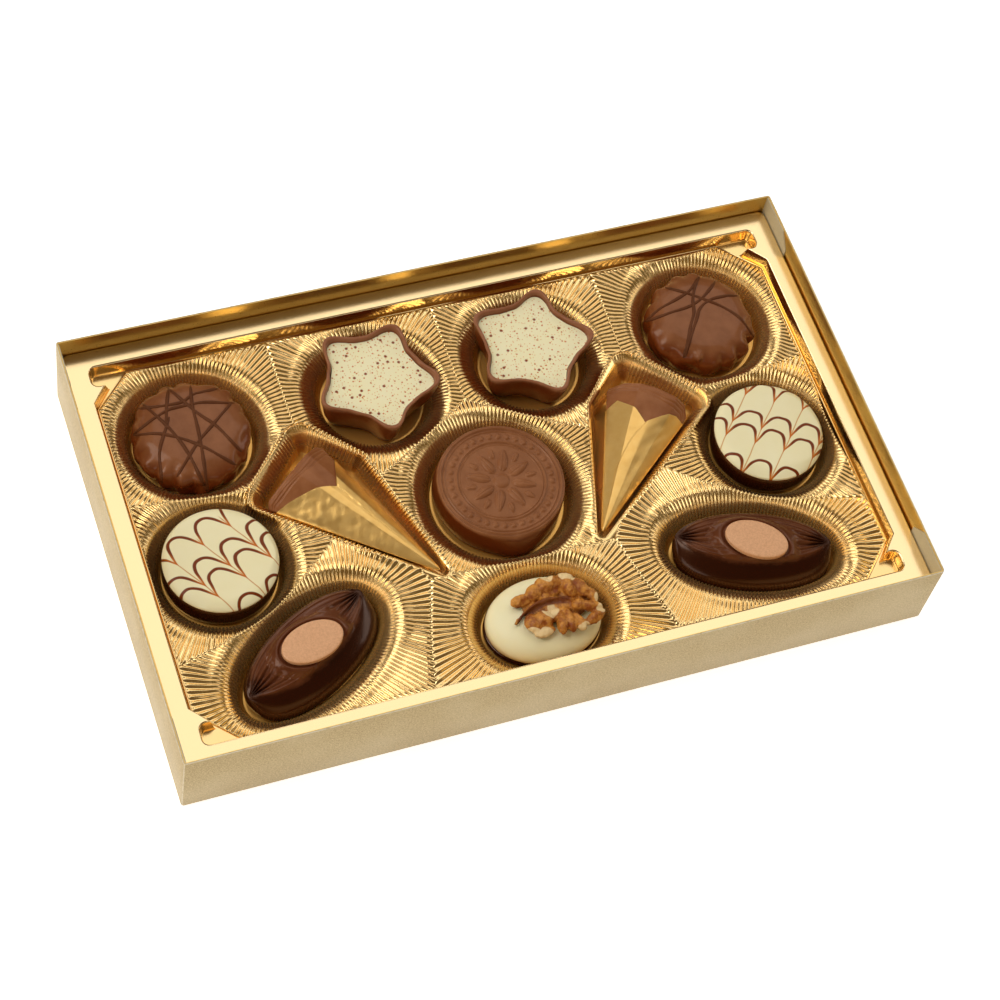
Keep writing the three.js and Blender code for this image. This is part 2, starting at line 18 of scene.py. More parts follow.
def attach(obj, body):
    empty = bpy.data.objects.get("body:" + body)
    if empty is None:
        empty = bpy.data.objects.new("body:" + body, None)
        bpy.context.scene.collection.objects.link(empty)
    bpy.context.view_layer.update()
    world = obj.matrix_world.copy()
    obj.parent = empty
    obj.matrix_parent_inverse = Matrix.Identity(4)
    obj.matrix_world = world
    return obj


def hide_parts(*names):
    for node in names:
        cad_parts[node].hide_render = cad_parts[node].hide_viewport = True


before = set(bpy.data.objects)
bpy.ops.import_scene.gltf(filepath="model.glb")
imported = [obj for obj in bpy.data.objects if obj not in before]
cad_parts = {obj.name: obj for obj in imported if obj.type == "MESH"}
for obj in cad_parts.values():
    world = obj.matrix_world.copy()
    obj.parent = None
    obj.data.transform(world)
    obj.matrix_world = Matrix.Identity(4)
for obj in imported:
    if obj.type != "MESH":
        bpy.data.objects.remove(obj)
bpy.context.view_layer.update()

# %% [markdown]
# ## A helper that writes shader maths as Python
# A material could be wired by hand, node by node. Long formulas are easier to read as
# Python, so one small class wraps a socket, and every operator on it adds a Math node.

# %% Values that add their own nodes
class Value:
    """A number that varies over the surface."""

    def __init__(self, finish, socket):
        self.finish = finish
        self.socket = socket

    def math(self, operation, *others):
        return self.finish.math(operation, self, *others)

    def __add__(self, other):
        return self.math("ADD", other)

    __radd__ = __add__

    def __mul__(self, other):
        return self.math("MULTIPLY", other)

    __rmul__ = __mul__

    def __sub__(self, other):
        return self.math("SUBTRACT", other)

    def __rsub__(self, other):
        return self.finish.math("SUBTRACT", other, self)

    def __truediv__(self, other):
        return self.math("DIVIDE", other)

    def __rtruediv__(self, other):
        return self.finish.math("DIVIDE", other, self)

    def __pow__(self, other):
        return self.math("POWER", other)

    def __abs__(self):
        return self.math("ABSOLUTE")

    def __gt__(self, other):
        return self.math("GREATER_THAN", other)


print("a Value turns +, -, *, /, **, > and abs into Math nodes")

# %% [markdown]
# ## A helper for finishes
# Each finish is one Principled shader. Patterns are read from the place of a point on the
# object, in millimetres, so that they don't slide when the camera moves.

# %% The finish helper
def linear(color):
    """A colour as seen on screen, 0 to 255, as light."""
    shares = [channel / 255 for channel in color]
    light = [s / 12.92 if s <= 0.04045 else ((s + 0.055) / 1.055) ** 2.4 for s in shares]
    return (*light, 1.0)


class Finish:
    """One material, with the few calls that this scene needs."""

    def __init__(self, name, **constants):
        self.material = bpy.data.materials.new(name)
        self.material.use_nodes = True
        self.tree = self.material.node_tree
        self.tree.nodes.clear()
        output = self.tree.nodes.new("ShaderNodeOutputMaterial")
        self.shader = self.tree.nodes.new("ShaderNodeBsdfPrincipled")
        self.tree.links.new(self.shader.outputs[0], output.inputs[0])
        for socket, value in constants.items():
            self.shader.inputs[socket.replace("_", " ")].default_value = value
        place = self.node("ShaderNodeTexCoord", {}, {}, "Object")
        self.place = self.node(
            "ShaderNodeVectorMath", {"operation": "SCALE"}, {0: place, "Scale": 1000.0}, 0)
        split = self.tree.nodes.new("ShaderNodeSeparateXYZ")
        self.tree.links.new(self.place.socket, split.inputs[0])
        self.x, self.y, self.z = (Value(self, out) for out in split.outputs)

    def node(self, kind, settings, inputs, output=0):
        """Adds a node, sets it up, feeds its sockets and gives the wanted output."""
        made = self.tree.nodes.new(kind)
        for name, value in settings.items():
            setattr(made, name, value)
        for name, value in inputs.items():
            if isinstance(value, Value):
                self.tree.links.new(value.socket, made.inputs[name])
            else:
                made.inputs[name].default_value = value
        return Value(self, made.outputs[output])

    def math(self, operation, *values):
        inputs = dict(enumerate(values))
        return self.node("ShaderNodeMath", {"operation": operation}, inputs)

    def least(self, a, b):
        return self.math("MINIMUM", a, b)

    def most(self, a, b):
        return self.math("MAXIMUM", a, b)

    def step(self, value, low, high):
        """0 below low, 1 above high, with a soft step between."""
        inputs = {"Value": value, "From Min": low, "From Max": high}
        return self.node("ShaderNodeMapRange", {"interpolation_type": "SMOOTHSTEP"}, inputs)

    def noise(self, size, detail=2.0, roughness=0.5):
        """Soft noise from 0 to 1 whose blots are about size millimetres wide."""
        inputs = {"Vector": self.place, "Scale": 1 / size, "Detail": detail,
                  "Roughness": roughness}
        return self.node("ShaderNodeTexNoise", {"noise_dimensions": "4D"}, inputs)

    def cells(self, size, seed, output="Distance"):
        """Distance from the nearest of scattered points, in cells of that size."""
        moved = self.node("ShaderNodeVectorMath", {"operation": "ADD"},
                          {0: self.place, 1: (seed * 37.0, seed * 91.0, 0.0)})
        inputs = {"Vector": moved, "Scale": 1 / size}
        return self.node("ShaderNodeTexVoronoi", {"voronoi_dimensions": "2D"}, inputs, output)

    def mix(self, mask, low, high):
        """One colour where the mask is 0 and another where it is 1."""
        inputs = {0: mask, 6: low, 7: high}
        return self.node("ShaderNodeMix", {"data_type": "RGBA"}, inputs, 2)

    def wear(self, color=None, roughness=None, bumps=(), coat=None, metallic=None):
        """Feeds what varies over a surface. A bump is a height and its depth in mm."""
        fed = {"Base Color": color, "Roughness": roughness, "Coat Weight": coat,
               "Metallic": metallic}
        for name, value in fed.items():
            if isinstance(value, Value):
                self.tree.links.new(value.socket, self.shader.inputs[name])
            elif value is not None:
                self.shader.inputs[name].default_value = value
        normal = None
        for height, depth in bumps:
            inputs = {"Height": height, "Strength": 1.0, "Distance": depth / 1000}
            if normal:
                inputs["Normal"] = normal
            normal = self.node("ShaderNodeBump", {}, inputs)
        if normal:
            self.tree.links.new(normal.socket, self.shader.inputs["Normal"])
        return self.material


print("a middle grey on screen is", round(linear((128, 128, 128))[0], 3), "as light")

# %% [markdown]
# ## Helpers for meshes
# Nearly every piece here is a stack of rings, so one function joins rings of points with
# quads and closes the two ends. Points are in millimetres and turn into metres at the end.

# %% Mesh helpers
TAU = 2 * math.pi


def ring_faces(levels, count):
    """Quads between rings of equal point count that lie one on another."""
    level, i = np.meshgrid(np.arange(levels - 1), np.arange(count), indexing="ij")
    a = level * count + i
    b = level * count + (i + 1) % count
    return np.stack([a, b, b + count, a + count], axis=-1).reshape(-1, 4)


def closed_stack(rings):
    """Rings from below upwards as one closed body: points and faces."""
    rings = np.asarray(rings, float)
    levels, count = rings.shape[:2]
    points = np.concatenate([rings.reshape(-1, 3), [rings[0].mean(0)], [rings[-1].mean(0)]])
    bottom = levels * count
    last = (levels - 1) * count
    faces = ring_faces(levels, count).tolist()
    for i in range(count):
        following = (i + 1) % count
        faces.append([bottom, following, i])
        faces.append([bottom + 1, last + i, last + following])
    return points, faces


def joined(*parts):
    """Several (points, faces) as one."""
    points, faces, start = [], [], 0
    for part_points, part_faces in parts:
        points.append(np.asarray(part_points, float))
        faces += [[start + i for i in face] for face in part_faces]
        start += len(part_points)
    return np.concatenate(points), faces


def raw_mesh(name, points, faces):
    mesh = bpy.data.meshes.new(name)
    mesh.from_pydata((np.asarray(points) / 1000).tolist(), [], [list(f) for f in faces])
    mesh.update()
    return mesh


def place_piece(name, shape, material, replaces=(), sharp_angle=60, turn_out=True):
    """Makes the object, gives it its finish and hangs it on the frame. Edges that bend more
    than the sharp angle stay crisp. Without one, the whole piece is smooth."""
    points, faces = shape
    mesh = raw_mesh(name, points, faces)
    if turn_out:
        shell = bmesh.new()
        shell.from_mesh(mesh)
        bmesh.ops.recalc_face_normals(shell, faces=shell.faces)
        shell.to_mesh(mesh)
        shell.free()
    mesh.materials.append(material)
    mesh.shade_smooth()
    if sharp_angle:
        mesh.set_sharp_from_angle(angle=math.radians(sharp_angle))
    piece = bpy.data.objects.new(name, mesh)
    bpy.context.scene.collection.objects.link(piece)
    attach(piece, "root")
    if replaces:
        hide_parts(*replaces)
    print(f"{name}: {len(mesh.polygons)} faces")
    return piece


def smooth_curve(keys, values, at):
    """A smooth curve through key points, without overshoot."""
    keys, values = np.asarray(keys, float), np.asarray(values, float)
    slopes = np.gradient(values, keys)
    flat = np.diff(values)
    for i in range(1, len(keys) - 1):
        if flat[i - 1] * flat[i] <= 0:
            slopes[i] = 0
    at = np.clip(at, keys[0], keys[-1])
    i = np.clip(np.searchsorted(keys, at) - 1, 0, len(keys) - 2)
    width = keys[i + 1] - keys[i]
    t = (at - keys[i]) / width
    a = (1 + 2 * t) * (1 - t) ** 2
    b = t * (1 - t) ** 2
    c = t * t * (3 - 2 * t)
    d = t * t * (t - 1)
    return a * values[i] + b * width * slopes[i] + c * values[i + 1] + d * width * slopes[i + 1]


def soft_step(value, low, high):
    t = np.clip((value - low) / (high - low), 0, 1)
    return t * t * (3 - 2 * t)


def full_turn(count):
    """The angles of that many points round a full turn."""
    return np.arange(count) / count * TAU


def round_ring(x, y, reach, angle, z):
    """Points round a middle. The reach and the height are numbers, or one for each angle."""
    return np.column_stack([x + reach * np.cos(angle), y + reach * np.sin(angle),
                            np.full(len(angle), z)])


WAVES = 14


def ripples(points, size, seed):
    """Soft lumps between about -1 and 1, about size millimetres wide."""
    random = np.random.default_rng(seed)
    total = np.zeros(len(points))
    for _ in range(WAVES):
        direction = random.normal(size=3)
        direction /= np.linalg.norm(direction)
        pace = TAU / (size * random.uniform(1.3, 2.8))
        total += np.sin(points @ direction * pace + random.uniform(0, TAU))
    return total / math.sqrt(WAVES)


print("three rings of eight points are joined by", len(ring_faces(3, 8)), "quads")

# %% [markdown]
# ## The camera
# The photograph looks down on the box from the front left, through a long lens and with a
# slight roll. The place and the directions come from the corners of the box.

# %% Camera
CAMERA_PLACE = Vector((-0.185730, -0.308850, 0.603243))
CAMERA_RIGHT = Vector((0.937868, -0.322098, 0.129060))
CAMERA_UP = Vector((0.219316, 0.838477, 0.498856))
CAMERA_AHEAD = Vector((0.268895, 0.439556, -0.857022))
LENS_MM = 93.90

camera_data = bpy.data.cameras.new("camera")
camera_data.sensor_width = 36
camera_data.lens = LENS_MM
camera_data.clip_start = 0.01
camera_data.clip_end = 20
camera = bpy.data.objects.new("camera", camera_data)
bpy.context.scene.collection.objects.link(camera)
turn = Matrix((CAMERA_RIGHT, CAMERA_UP, -CAMERA_AHEAD)).transposed()
camera.matrix_world = Matrix.Translation(CAMERA_PLACE) @ turn.to_4x4()
bpy.context.scene.camera = camera
print("camera is", round(CAMERA_PLACE.length, 3), "m from the box")

# %% [markdown]
# ## Light and floor
# A studio lights gold with large soft panels, because bare metal shows its surroundings.
# A panel above and behind gives the flat rim its even pale gold. The room round it stays
# dim and warm, which gives the ribs their brown sides. The floor glows a little, as a lit
# sweep does.

# %% Light and floor
ROOM_COLOR = (1.0, 0.76, 0.48, 1)
ROOM_STRENGTH = 0.14
LAMP_COLOR = (1.0, 0.985, 0.96)
FLOOR_REACH = 3000
FLOOR_HEIGHT = -0.2

world = bpy.data.worlds.new("room")
bpy.context.scene.world = world
world.use_nodes = True
world.node_tree.nodes["Background"].inputs["Color"].default_value = ROOM_COLOR
world.node_tree.nodes["Background"].inputs["Strength"].default_value = ROOM_STRENGTH
bpy.context.scene.view_settings.view_transform = "Standard"


def panel(name, place, width, height, brightness):
    """A soft lamp panel that faces the box. Sizes in metres."""
    lamp = bpy.data.lights.new(name, "AREA")
    lamp.shape = "RECTANGLE"
    lamp.size = width
    lamp.size_y = height
    lamp.energy = brightness * math.pi * width * height
    lamp.color = LAMP_COLOR
    holder = bpy.data.objects.new(name, lamp)
    bpy.context.scene.collection.objects.link(holder)
    holder.location = place
    holder.rotation_mode = "QUATERNION"
    holder.rotation_quaternion = (-Vector(place)).to_track_quat("-Z", "Y")


# Place, width, height and brightness of each panel, where 1 is as bright as white paper
PANELS = {
    "panel_top": ((0.40, 0.66, 1.29), 1.6, 1.2, 1.12),
    "panel_high_left": ((-0.8, 0.2, 1.3), 0.7, 0.7, 4.6),
    "panel_front_left": ((-1.15, -0.85, 0.72), 1.1, 0.5, 2.1),
    "panel_front": ((0.25, -1.5, 0.62), 1.1, 0.4, 1.1),
    "panel_left": ((-1.45, 0.55, 0.5), 1.1, 0.45, 2.2),
    "panel_right": ((1.45, 0.1, 0.6), 1.1, 0.4, 2.0),
    "panel_behind": ((-0.2, 1.6, 0.55), 1.4, 0.4, 1.8),
}
for name, (place, width, height, brightness) in PANELS.items():
    panel(name, place, width, height, brightness)
print(len(PANELS), "panels light the box")

floor_finish = Finish("floor_white", Roughness=0.8, Emission_Color=(1, 1, 1, 1),
                      Emission_Strength=0.75)
floor_finish.wear(color=floor_finish.mix(
    floor_finish.noise(40.0), (0.93, 0.93, 0.93, 1), (0.95, 0.95, 0.95, 1)))
floor_corners = [(sign_x * FLOOR_REACH, sign_y * FLOOR_REACH, FLOOR_HEIGHT)
                 for sign_x, sign_y in ((-1, -1), (1, -1), (1, 1), (-1, 1))]
floor_mesh = raw_mesh("floor", floor_corners, [(0, 1, 2, 3)])
floor_mesh.materials.append(floor_finish.material)
floor = bpy.data.objects.new("floor", floor_mesh)
bpy.context.scene.collection.objects.link(floor)

# %% [markdown]
# ## The card box
# The real box is one sheet of card, folded up and glued by flaps at the corners. Its
# outside is printed a matt champagne and its inside is laminated with gold. It could be one
# solid with two finishes, but an outer skin and a lining are closer to how it is made.

# %% Sizes of the card
BOX_LENGTH = 205.0
BOX_WIDTH = 125.0
BOX_HEIGHT = 25.0
CARD = 0.5
PRINTED_PLY = 0.26
FLAP_CARD = 0.3
FLAP_LENGTH = 16.0
FLAP_SLOPE = 4.0
FOLD_RADIUS = 0.8
CUT_EDGE = 0.08


def rounded_rectangle(half_x, half_y, radius):
    """Seven points round each corner, listed round to the left."""
    points = []
    for k, (sign_x, sign_y) in enumerate([(1, 1), (-1, 1), (-1, -1), (1, -1)]):
        for angle in np.linspace(k * 90, k * 90 + 90, 7):
            points.append((sign_x * (half_x - radius) + radius * math.cos(math.radians(angle)),
                           sign_y * (half_y - radius) + radius * math.sin(math.radians(angle))))
    return np.array(points)


def at_height(outline, z):
    return np.column_stack([outline, np.full(len(outline), z)])


def open_box(outer, inner, top):
    """Four walls between two insets, on a floor as thick as they are. The rings go up the
    outside and down the inside."""
    def ring(inset, z):
        outline = rounded_rectangle(BOX_LENGTH / 2 - inset, BOX_WIDTH / 2 - inset,
                                    max(FOLD_RADIUS - inset, 0.15))
        return at_height(outline, z)
    half = CUT_EDGE / 2
    return closed_stack([
        ring(outer + 0.2, outer), ring(outer + 0.05, outer + 0.04), ring(outer, outer + 0.15),
        ring(outer, top - CUT_EDGE), ring(outer + half, top), ring(inner - half, top),
        ring(inner, top - CUT_EDGE), ring(inner, inner),
    ])


print("the card is", BOX_LENGTH - 2 * CARD, "mm long inside")

# %% [markdown]
# ## The card's two faces
# The outside is card with a sandy gold print, which is one third mirror and the rest
# paint. The lining is a smoother, deeper gold film. Where card is cut, its pale core shows.
# Each face gets its own finish, because one shared finish would make the box look cast.

# %% Finishes of the card
def card_outside_finish():
    finish = Finish("champagne_card", Metallic=0.35, Specular_IOR_Level=0.4)
    fleck = finish.noise(0.45, detail=3.0, roughness=0.7)
    cloud = finish.noise(18.0, detail=2.0)
    base = finish.mix(finish.step(fleck, 0.2, 0.8), linear((146, 122, 74)),
                      linear((214, 192, 144)))
    tinted = finish.mix(finish.step(cloud, 0.35, 0.7) * 0.25, base, linear((214, 198, 160)))
    corner = finish.step(abs(finish.x) / (BOX_LENGTH / 2), 0.9955, 0.9985)
    corner = corner * finish.step(abs(finish.y) / (BOX_WIDTH / 2), 0.991, 0.998)
    top = finish.step(finish.z, BOX_HEIGHT - 0.35, BOX_HEIGHT - 0.12)
    worn = finish.most(corner, top) * finish.step(finish.noise(1.4), 0.2, 0.55)
    color = finish.mix(worn * 0.85, tinted, linear((226, 216, 192)))
    return finish.wear(color=color, roughness=0.42 + fleck * 0.2, bumps=[(fleck, 0.03)])


def card_lining_finish():
    finish = Finish("gold_lining", Metallic=1.0)
    drift = finish.noise(24.0, detail=1.0)
    fibre = finish.noise(0.5, detail=2.0)
    color = finish.mix(drift, linear((218, 182, 104)), linear((232, 200, 124)))
    return finish.wear(color=color, roughness=0.24 + fibre * 0.1,
                       bumps=[(drift, 0.05), (fibre, 0.004)])


def flap_finish():
    finish = Finish("flap_card", Metallic=0.2)
    fleck = finish.noise(0.4, detail=3.0)
    color = finish.mix(fleck, linear((198, 184, 148)), linear((222, 210, 178)))
    return finish.wear(color=color, roughness=0.45 + fleck * 0.15, bumps=[(fleck, 0.01)])


outside_finish, lining_finish = card_outside_finish(), card_lining_finish()
print("finishes:", outside_finish.name, "and", lining_finish.name)

# %% [markdown]
# ## Folding the tray
# The tray is folded from one sheet with glued corner flaps. The walls and floor are made
# as one closed wrap, then a thin lining inside it, then the four flaps in the corners.

# %% Build the card
place_piece("card_wrap", open_box(0.0, PRINTED_PLY, BOX_HEIGHT), outside_finish,
            replaces=["card_box"], sharp_angle=50)
place_piece("card_lining", open_box(PRINTED_PLY, CARD, BOX_HEIGHT - CUT_EDGE),
            lining_finish, sharp_angle=50)


def flap(sign_x, sign_y):
    """A glue flap with cut corners that lies on the end wall, slightly lifted at its end."""
    wall = BOX_LENGTH / 2 - CARD
    reach = np.linspace(0, FLAP_LENGTH, 9)
    slope = FLAP_SLOPE * soft_step(reach, FLAP_LENGTH - FLAP_SLOPE, FLAP_LENGTH)
    low_edge = CARD + 0.1 + slope
    high_edge = BOX_HEIGHT - 0.35 - slope
    rings = []
    for out, low, high in zip(reach, low_edge, high_edge):
        y = sign_y * (BOX_WIDTH / 2 - CARD - 0.02 - out)
        lift = 0.08 * (out / FLAP_LENGTH) ** 2
        faces = (sign_x * (wall - 0.01 - lift * 0.3), sign_x * (wall - FLAP_CARD - 0.02))
        rings.append([(faces[0], y, low), (faces[1], y, low), (faces[1], y, high),
                      (faces[0], y, high)])
    return closed_stack(rings)


flaps = joined(*[flap(sx, sy) for sx in (-1, 1) for sy in (-1, 1)])
place_piece("card_flaps", flaps, flap_finish(), sharp_angle=30)

# %% [markdown]
# ## The gold insert: sizes
# The insert is thin gold plastic, formed over a mould. Ten wells are round or oval and two
# are pointed for the cones. Each well is known by the outline of its floor. Everything else
# follows from the distance to that outline: the wall, its crest, the ribs and the border
# with the next well, which is where two distances are equal.

# %% Sizes of the insert
SHEET_TOP = 19.0
FIELD = 15.1
WELL_FLOOR = 7.5
FOOT = 0.8
OUTER_X = BOX_LENGTH / 2 - CARD - FLAP_CARD - 0.3
OUTER_Y = BOX_WIDTH / 2 - CARD - 0.3
RIM_X = 96.4
RIM_Y = 56.4
STEP_LEAN = 0.7
BEAD = 0.6
SLOT_EDGE_Y = 50.4
SLOT_END_X = 95.5
SLOT_RADIUS = 1.9
CUT_START_Y = 45.6
CUT_END_X = 92.3
FIELD_CUT = 9.9

# Floor outline of each well: middle x and y, half length, half width, turn in degrees
WELLS = {
    "truffle_left": (-73.2, 33.8, 16.1, 16.1, 0.0),
    "truffle_right": (73.0, 33.8, 15.9, 15.9, 0.0),
    "star_left": (-22.8, 34.6, 14.2, 14.2, 0.0),
    "star_right": (22.4, 34.6, 14.2, 14.2, 0.0),
    "medallion": (0.2, -3.3, 18.2, 18.2, 0.0),
    "disc_left": (-76.9, -6.2, 15.3, 15.3, 0.0),
    "disc_right": (76.9, -6.2, 15.3, 15.3, 0.0),
    "walnut": (-0.8, -42.1, 16.3, 12.5, 0.0),
    "boat_left": (-61.6, -35.8, 22.0, 11.0, 30.0),
    "boat_right": (60.4, -36.9, 22.0, 11.0, -17.0),
}
BACK_WELLS = ["truffle_left", "truffle_right", "star_left", "star_right", "medallion"]
FRONT_WELLS = [name for name in WELLS if name not in BACK_WELLS]

# A cone well is the hull of four circles, each x, y and radius, on the left side
CONE_BRIM = [(-60.5, 9.5, 4.8), (-22.0, -23.5, 2.0), (-36.0, 13.0, 5.0), (-46.5, 24.0, 5.0)]
CONE_FLOOR = [(-58.8, 8.9, 1.4), (-22.6, -22.7, 0.9), (-36.4, 13.0, 2.2), (-46.0, 22.6, 1.0)]
BRIM_HEIGHT = 15.0
TIP_FLOOR = 12.2

# The ribs have this pitch at the given distance from a well's floor and fan out beyond it.
# Their depth is a share of the pitch wherever they are, up to a limit
RIB_PITCH = 1.02
EVEN_RIBS_AT = 4.5
SAMPLES_PER_RIB = 6
RIB_DEPTH_SHARE = 0.21
RIB_DEPTH_LIMIT = 0.3
# How far the wall rises, the distance in which it bends over, and how near the next well
# has to be to make it bend sooner. Beyond its crest the field drops a little
CREST_RISE = 8.4
WALL_BEND = 3.0
TIGHT_BORDER = 3.2
FIELD_DROP = 0.7
FIELD_DROP_FROM = 6.2
FIELD_DROP_TO = 9.5


def wall_height(distance, border):
    """Height of the sheet beside a well: steep at the floor, then bending over to the field.
    It bends sooner where the next well is very near."""
    bend = WALL_BEND * np.tanh(border / TIGHT_BORDER)
    rise = 1 - np.exp(-distance / bend)
    drop = FIELD_DROP * soft_step(distance, FIELD_DROP_FROM, FIELD_DROP_TO)
    return WELL_FLOOR + CREST_RISE * rise - drop


print(len(WELLS), "of the twelve wells are round or oval")

# %% [markdown]
# ## Measuring from a well
# The sheet needs the distance from any point to every well. A circle's is plain. An oval's
# has no plain formula, so a few steps towards the nearest point on the oval find it. The
# cone wells are hulls of circles, so straight sides and round corners come from one rule.

# %% Distances
def mirrored(circles):
    return [(-x, y, r) for x, y, r in circles][::-1]


def oval_points(well, t, grow=0.0):
    """Points and outward directions on a well's outline at the parameters t."""
    x, y, a, b, turn_deg = well
    angle = math.radians(turn_deg)
    nx, ny = np.cos(t) / a, np.sin(t) / b
    size = np.hypot(nx, ny)
    nx, ny = nx / size, ny / size
    u, v = a * np.cos(t) + grow * nx, b * np.sin(t) + grow * ny
    cos, sin = math.cos(angle), math.sin(angle)
    return (x + u * cos - v * sin, y + u * sin + v * cos, nx * cos - ny * sin,
            nx * sin + ny * cos)


def oval_distance(well, x, y):
    """Distance outwards from a well's floor outline."""
    cx, cy, a, b, turn_deg = well
    angle = math.radians(turn_deg)
    u = (x - cx) * math.cos(angle) + (y - cy) * math.sin(angle)
    v = (y - cy) * math.cos(angle) - (x - cx) * math.sin(angle)
    if a == b:
        return np.hypot(u, v) - a
    u, v = np.abs(u) + 1e-9, np.abs(v) + 1e-9
    tx = np.full_like(u, math.sqrt(0.5))
    ty = tx.copy()
    for _ in range(5):
        ex, ey = (a * a - b * b) * tx ** 3 / a, (b * b - a * a) * ty ** 3 / b
        reach = np.hypot(a * tx - ex, b * ty - ey)
        away = np.hypot(u - ex, v - ey) + 1e-12
        tx = np.clip(((u - ex) * reach / away + ex) / a, 0, 1)
        ty = np.clip(((v - ey) * reach / away + ey) / b, 0, 1)
        size = np.hypot(tx, ty)
        tx, ty = tx / size, ty / size
    near = np.hypot(u - a * tx, v - b * ty)
    return np.where((u / a) ** 2 + (v / b) ** 2 < 1, -near, near)


def hull_outline(circles, grow, per_arc, per_side):
    """The hull of circles that are listed round to the left, with its outward directions."""
    normals = []
    for (x, y, r), (x2, y2, r2) in zip(circles, circles[1:] + circles[:1]):
        lean = math.asin((r - r2) / math.hypot(x2 - x, y2 - y))
        normals.append(math.atan2(y2 - y, x2 - x) - math.pi / 2 + lean)
    points, directions = [], []
    for i, (x, y, r) in enumerate(circles):
        sweep = (normals[i] - normals[i - 1]) % TAU
        for k in range(per_arc[i]):
            angle = normals[i - 1] + sweep * k / per_arc[i]
            direction = np.array([math.cos(angle), math.sin(angle)])
            points.append(np.array([x, y]) + (r + grow) * direction)
            directions.append(direction)
        x2, y2, r2 = circles[(i + 1) % len(circles)]
        direction = np.array([math.cos(normals[i]), math.sin(normals[i])])
        for k in range(per_side[i]):
            share = k / per_side[i]
            start = np.array([x, y]) + (r + grow) * direction
            end = np.array([x2, y2]) + (r2 + grow) * direction
            points.append(start + (end - start) * share)
            directions.append(direction)
    return np.array(points), np.array(directions)


def inside_cone_wells(x, y):
    """How far a point is from the brims of the cone wells. It is negative inside."""
    least = np.full_like(x, 1e9)
    for circles in (CONE_BRIM, mirrored(CONE_BRIM)):
        outline, directions = hull_outline(circles, 0.0, [8] * 4, [1] * 4)
        reach = [(x - p[0]) * d[0] + (y - p[1]) * d[1] for p, d in zip(outline, directions)]
        least = np.minimum(least, np.max(reach, axis=0))
    return least


FIELD_X = RIM_X - STEP_LEAN - BEAD
FIELD_Y = RIM_Y - STEP_LEAN - BEAD


def beyond_field(x, y):
    """How far a point lies outside the cut-cornered field. It is negative inside."""
    corner = (np.abs(x) + np.abs(y) - (FIELD_X + FIELD_Y - FIELD_CUT)) / math.sqrt(2)
    return np.maximum(np.maximum(np.abs(x) - FIELD_X, np.abs(y) - FIELD_Y), corner)


star_gap = float(oval_distance(WELLS["star_right"], *WELLS["medallion"][:2]))
print("from the middle of the medallion to the right star's well:", round(star_gap, 1), "mm")

# %% [markdown]
# ## The ribbed wells
# Ribs this fine could be a bump map, but real ribs catch the light and mirror each other,
# and a bump would be missing from the exported mesh. So each well is a polar grid. One
# direction runs round it with six points to a rib, the other runs outwards to the border.

# %% Ribbed wells
INNER_STEPS = np.array([0, 0.25, 0.6, 1.1, 1.7, 2.3, 2.9, 3.5, 4.2, 5.0, 5.9, 6.9, 8.0])
OUTER_STEPS = 9
MARCH = 0.5
FURTHEST_BORDER = 80.0
# Where a border is nearer than this, the inner rings are squeezed together
CLOSE_BORDER = 9.0
# The floor under a praline, as shares of its outline, and a low lip pressed into it
FLOOR_SHARES = [0.2, 0.6, 0.86, 0.88, 0.905, 0.925, 0.945, 0.965, 0.985]
FLOOR_LIP = [0, 0, 0.02, 0.05, 0.02, 0.06, 0.1, 0.04, 0.0]


def border_distance(name, x, y, nx, ny):
    """Marches outwards from the well to where its ribs stop: distance and what stops them."""
    well = WELLS[name]
    others = [other for key, other in WELLS.items() if key != name]

    def stops(distance):
        px, py = x + nx * distance, y + ny * distance
        near = np.min([oval_distance(other, px, py) for other in others], axis=0)
        return np.stack([near - distance, inside_cone_wells(px, py), -beyond_field(px, py)])

    low = np.zeros_like(x)
    high = np.full_like(x, FURTHEST_BORDER)
    found = np.zeros(len(x), bool)
    for distance in np.arange(MARCH, FURTHEST_BORDER, MARCH):
        hit = (stops(np.full_like(x, distance)).min(axis=0) < 0) & ~found
        high[hit] = distance
        low[hit] = distance - MARCH
        found |= hit
        if found.all():
            break
    for _ in range(12):
        middle = (low + high) / 2
        hit = stops(middle).min(axis=0) < 0
        high = np.where(hit, middle, high)
        low = np.where(hit, low, middle)
    return low, stops(high).argmin(axis=0)


def even_parameters(well, count):
    """Parameters that put points evenly round the wall of a well, and its length there."""
    t = np.linspace(0, TAU, 4001)
    x, y, _, _ = oval_points(well, t, EVEN_RIBS_AT)
    along = np.concatenate([[0], np.cumsum(np.hypot(np.diff(x), np.diff(y)))])
    return np.interp(np.arange(count) / count * along[-1], along, t), along[-1]


def rib_count(well):
    _, length = even_parameters(well, 8)
    return int(round(length / RIB_PITCH))


